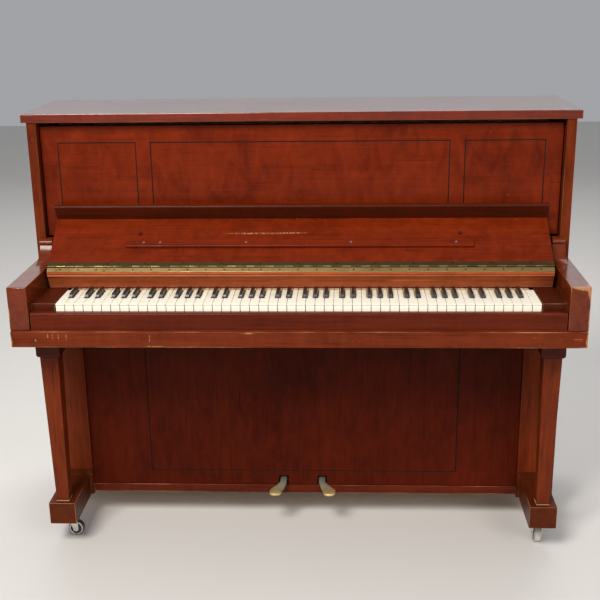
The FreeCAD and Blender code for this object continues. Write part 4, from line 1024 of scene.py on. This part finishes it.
def make_pedals():
    """Each pedal is lofted from rounded sections: a bar that dips, turns out and swells to its toe."""
    arm_half, toe_half = 0.0095, 0.0178
    for sign, side in ((-1, "left"), (1, "right")):
        low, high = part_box(f"pedal_{side}")
        centre = sign * PEDAL_OUT
        tip = sign * (PEDAL_OUT + TOE_TURN)
        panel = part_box("lower_front_panel")[0].y
        stations = []
        steps = 30
        toe_reach = panel - 0.006 - low.y
        for n in range(steps + 1):
            t = n / steps
            y = panel - 0.006 - toe_reach * t
            bend = smooth_step((t - 0.10) / 0.55)
            x = centre + (tip - centre) * bend
            swell = arm_half + (toe_half - arm_half) * smooth_step((t - 0.12) / 0.45)
            if t > 0.70:
                swell = toe_half * math.sqrt(max(0.0, 1 - ((t - 0.70) / 0.30) ** 2.1))
            drop = -0.013 * smooth_step(t / 0.6)
            thick = 0.0058 - 0.0012 * t
            if t > 0.86:
                thick *= math.sqrt(max(0.02, 1 - ((t - 0.86) / 0.15) ** 2))
            stations.append((x, y, high.z - 0.006 + drop, max(swell, 0.0006), thick))
        straight = [(centre, y, high.z - 0.006, arm_half, 0.0058)
                    for y in (high.y, high.y - 0.05, panel + 0.03)]
        shape = bmesh.new()
        rings = []
        around, power = 20, 0.55
        for x, y, z, half, thick in [*straight, *stations]:
            ring = []
            for k in range(around):
                angle = math.tau * k / around
                c, s = math.cos(angle), math.sin(angle)
                ring.append(shape.verts.new((x + half * math.copysign(abs(c) ** power, c), y,
                                             z + thick * math.copysign(abs(s) ** power, s))))
            rings.append(ring)
        loft(shape, rings)
        pedal = f"pedal_{side}"
        new_piece(f"{pedal}_brass", shape, pedal, LOOK["pedal"], [pedal], smooth=60)
        low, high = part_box(f"pedal_dowel_{side}")
        shape = bmesh.new()
        middle = (low + high) / 2
        radius = (high.x - low.x) / 2
        run = high.z - low.z
        profile = [(0, radius * 0.55), (0.004, radius * 0.8), (0.012, radius), (run - 0.012, radius),
                   (run - 0.003, radius * 0.8), (run, radius * 0.5)]
        add_turned(shape, profile, (middle.x, middle.y, low.z), (0, 0, 1), 24)
        dowel = f"dowel_{side}"
        new_piece(dowel, shape, dowel, LOOK["maple_dowel"], [f"pedal_{dowel}"])


def add_ring(shape, centre, axis, inner, outer, width, steps=40):
    """A flat ring with chamfered edges, closed on all sides."""
    axis = Vector(axis).normalized()
    side = axis.orthogonal().normalized()
    other = axis.cross(side)
    edge = width * 0.3
    section = [(0, inner + edge), (0, outer - edge), (edge, outer), (width - edge, outer), (width, outer - edge),
               (width, inner + edge), (width - edge, inner), (edge, inner)]
    rings = []
    for n in range(steps):
        angle = math.tau * n / steps
        spoke = side * math.cos(angle) + other * math.sin(angle)
        rings.append([shape.verts.new(centre + axis * along + spoke * radius) for along, radius in section])
    for n in range(steps):
        a, b = rings[n], rings[(n + 1) % steps]
        for k in range(len(section)):
            shape.faces.new((a[k], b[k], b[(k + 1) % len(section)], a[(k + 1) % len(section)]))


def make_casters():
    """Wheels with a crowned tread between bright rims, in forks with round-ended cheeks and a ball race."""
    sets = [("caster_fork_left", "caster_fork_left", "caster_wheel_left", "caster_wheel_left",
             "caster_left_swivel", "wheel"),
            # the right front wheel takes the pale tread, a painted highlight
            ("caster_fork_right", "caster_fork_right", "caster_wheel_right", "caster_wheel_right",
             "caster_right_swivel", "wheel_painted_highlight"),
            ("rear_caster_forks", "case", "rear_caster_wheels", "rear_wheels", None, "wheel")]
    for fork_node, fork_body, wheel_node, wheel_body, pivot, tyre in sets:
        wheels = [box_of(points) for points in solid_points(wheel_node)]
        forks = [box_of(points) for points in solid_points(fork_node)]
        tread, metal_parts, cheeks = bmesh.new(), bmesh.new(), bmesh.new()
        for (low, high), (_, fork_high) in zip(wheels, forks):
            size = high - low
            axis = Vector((1, 0, 0)) if size.x < size.y else Vector((0, 1, 0))
            width = min(size.x, size.y)
            radius = size.z / 2
            centre = (low + high) / 2
            start = centre - axis * width / 2
            crown = [(0.0022, 0.0045), (0.0022, radius * 0.90), (0.0032, radius * 0.975), (width / 2, radius),
                     (width - 0.0032, radius * 0.975), (width - 0.0022, radius * 0.90), (width - 0.0022, 0.0045)]
            add_turned(tread, crown, start, axis, 48)
            hub = [(0, 0.0048), (0.0003, 0.0070), (0.0016, 0.0070), (0.0018, 0.0048)]
            for place in (0.0003, width - 0.0022):
                add_ring(metal_parts, start + axis * place, axis, radius * 0.70, radius * 0.89, 0.0018)
                add_turned(metal_parts, hub, start + axis * place, axis, 24)
            reach = width / 2 + 0.0055
            axle = [(0, 0.0025), (0.0008, 0.0040), (2 * reach - 0.0008, 0.0040), (2 * reach, 0.0025)]
            add_turned(cheeks, axle, centre - axis * reach, axis, 20)
            across = Vector((0, 0, 1)).cross(axis)
            swivel = joint_place(pivot) if pivot else centre.copy()
            swivel.z = 0
            toward = (swivel - Vector((centre.x, centre.y, 0))).dot(across) * 0.6
            top = fork_high.z - 0.004 - centre.z
            outline = [*arc((0, 0), 0.0075, 180, 360, 10), (toward + 0.014, top), (toward - 0.014, top)]

            def beside_wheel(a, b, level):
                return centre + axis * level + across * a + Vector((0, 0, b))

            for sign in (-1, 1):
                inner = sign * (width / 2 + 0.0015)
                add_prism(cheeks, outline, inner, inner + sign * 0.0026, beside_wheel)
            race = [(0, 0.017), (0.0012, 0.019), (0.0030, 0.019), (0.0040, 0.020), (0.0052, 0.020)]
            add_turned(cheeks, race, swivel + Vector((0, 0, fork_high.z - 0.0052)), (0, 0, 1), 36)
        new_piece(f"{wheel_node}_tread", tread, wheel_body, LOOK[tyre], [wheel_node], smooth=50)
        new_piece(f"{wheel_node}_rims", metal_parts, wheel_body, LOOK["steel"])
        new_piece(f"{fork_node}_horns", cheeks, fork_body, LOOK["caster"], [fork_node], 0.0003)


# ---------------------------------------------------------------- hammers and lid hinge

def make_hammers():
    """Felt-covered heads on round shanks, each on its butt."""
    shape = bmesh.new()
    for points in solid_points("hammers"):
        low, high = box_of(points)
        x = (low.x + high.x) / 2
        shank_y = low.y + 0.014
        add_block(shape, (low.x + 0.0003, shank_y - 0.007, low.z),
                  (high.x - 0.0003, shank_y + 0.009, low.z + 0.024))
        shank = [(0.022, 0.0027), (high.z - low.z - 0.004, 0.0026)]
        add_turned(shape, shank, (x, shank_y, low.z), (0, 0, 1), 8)
        middle_z = high.z - 0.012
        wood = [(low.y + 0.001, middle_z - 0.005), (shank_y + 0.012, middle_z - 0.006), (shank_y + 0.018, middle_z),
                (shank_y + 0.012, middle_z + 0.006), (low.y + 0.001, middle_z + 0.005)]
        add_prism(shape, wood, low.x + 0.0004, high.x - 0.0004, along_x)
        turns = [math.radians(80 - 20 * n) for n in range(9)]
        nose = [(high.y - 0.011 + 0.011 * math.cos(a), middle_z + 0.0115 * math.sin(a)) for a in turns]
        rim = [(shank_y + 0.001, middle_z + 0.0062), *nose, (shank_y + 0.001, middle_z - 0.0062)]
        inner = [(shank_y + 0.012, middle_z - 0.0062), (shank_y + 0.0175, middle_z),
                 (shank_y + 0.012, middle_z + 0.0062)]
        add_prism(shape, rim + inner, low.x + 0.0002, high.x - 0.0002, along_x, 1)
    new_piece("hammer_set", shape, "hammers", [LOOK["maple"], LOOK["white_felt"]], ["hammers"], smooth=50)


def make_dampers():
    """A head, felt, wire and lever for each damped note.

    Known fault: near comes out at the head's far face, so heads reach up to 4.2 mm past their CAD solids.
    """
    shape = bmesh.new()
    for points in solid_points("dampers"):
        low, high = box_of(points)
        head = [p for p in points if p.z > high.z - 0.001]
        near = min(p.y for p in head)
        left, right = low.x + 0.0003, high.x - 0.0003
        lever_top = low.z + 0.062
        lever = [(low.y, low.z), (low.y + 0.008, low.z), (low.y + 0.008, lever_top - 0.004),
                 (low.y + 0.005, lever_top), (low.y, lever_top)]
        add_prism(shape, lever, left, right, along_x)
        head_low = high.z - 0.030
        middle = (left + right) / 2
        wire = [(low.y + 0.002, lever_top - 0.002), (low.y + 0.0042, lever_top - 0.002),
                (near + 0.0042, head_low + 0.002), (near + 0.002, head_low + 0.002)]
        add_prism(shape, wire, middle - 0.0011, middle + 0.0011, along_x, 2)
        block = [(near, head_low + 0.002), (near + 0.002, head_low), (high.y - 0.004, head_low),
                 (high.y - 0.004, high.z), (near + 0.002, high.z), (near, high.z - 0.002)]
        add_prism(shape, block, left, right, along_x)
        pad = [(high.y - 0.004, head_low), (high.y - 0.0015, head_low), (high.y, head_low + 0.002),
               (high.y, high.z - 0.002), (high.y - 0.0015, high.z), (high.y - 0.004, high.z)]
        add_prism(shape, pad, left, right, along_x, 1)
    materials = [LOOK["maple"], LOOK["white_felt"], LOOK["steel"]]
    new_piece("damper_set", shape, "dampers", materials, ["dampers"], smooth=50)


def make_lid_hinge():
    pin = joint_place("lid_hinge")
    low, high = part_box("lid_hinge_moving_leaf")
    shape = bmesh.new()
    add_block(shape, (low.x, low.y + 0.0003, high.z - 0.0015), (high.x, high.y, high.z - 0.0001))
    knuckles(shape, high.x, pin, 0, 0.0400, 0.0021)
    new_piece("lid_hinge_upper_leaf", shape, "lid", LOOK["brass"], ["lid_hinge_moving_leaf"], 0.0003)
    low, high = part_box("lid_hinge_fixed_leaf")
    shape = bmesh.new()
    add_block(shape, low, (high.x, high.y, high.z))
    knuckles(shape, high.x, pin, 1, 0.0400, 0.0020)
    for n in range(18):
        x = low.x + 0.04 + (high.x - low.x - 0.08) * n / 17
        add_screw(shape, (x, high.y, low.z + 0.010), (0, 1, 0), 0.0032, 1, n * 0.8)
    new_piece("lid_hinge_lower_leaf", shape, "case", [LOOK["brass"], LOOK["dark_screw"]], ["lid_hinge_fixed_leaf"],
              0.0003)


make_camera()
make_studio()
dress_case()
make_keys()
make_upper_panel()
make_lower_panel()
make_fallboard()
make_music_ledge()
make_fallboard_hinge()
make_nameboard()
make_arms()
make_legs()
make_pedals()
make_casters()
make_hammers()
make_dampers()
make_lid_hinge()
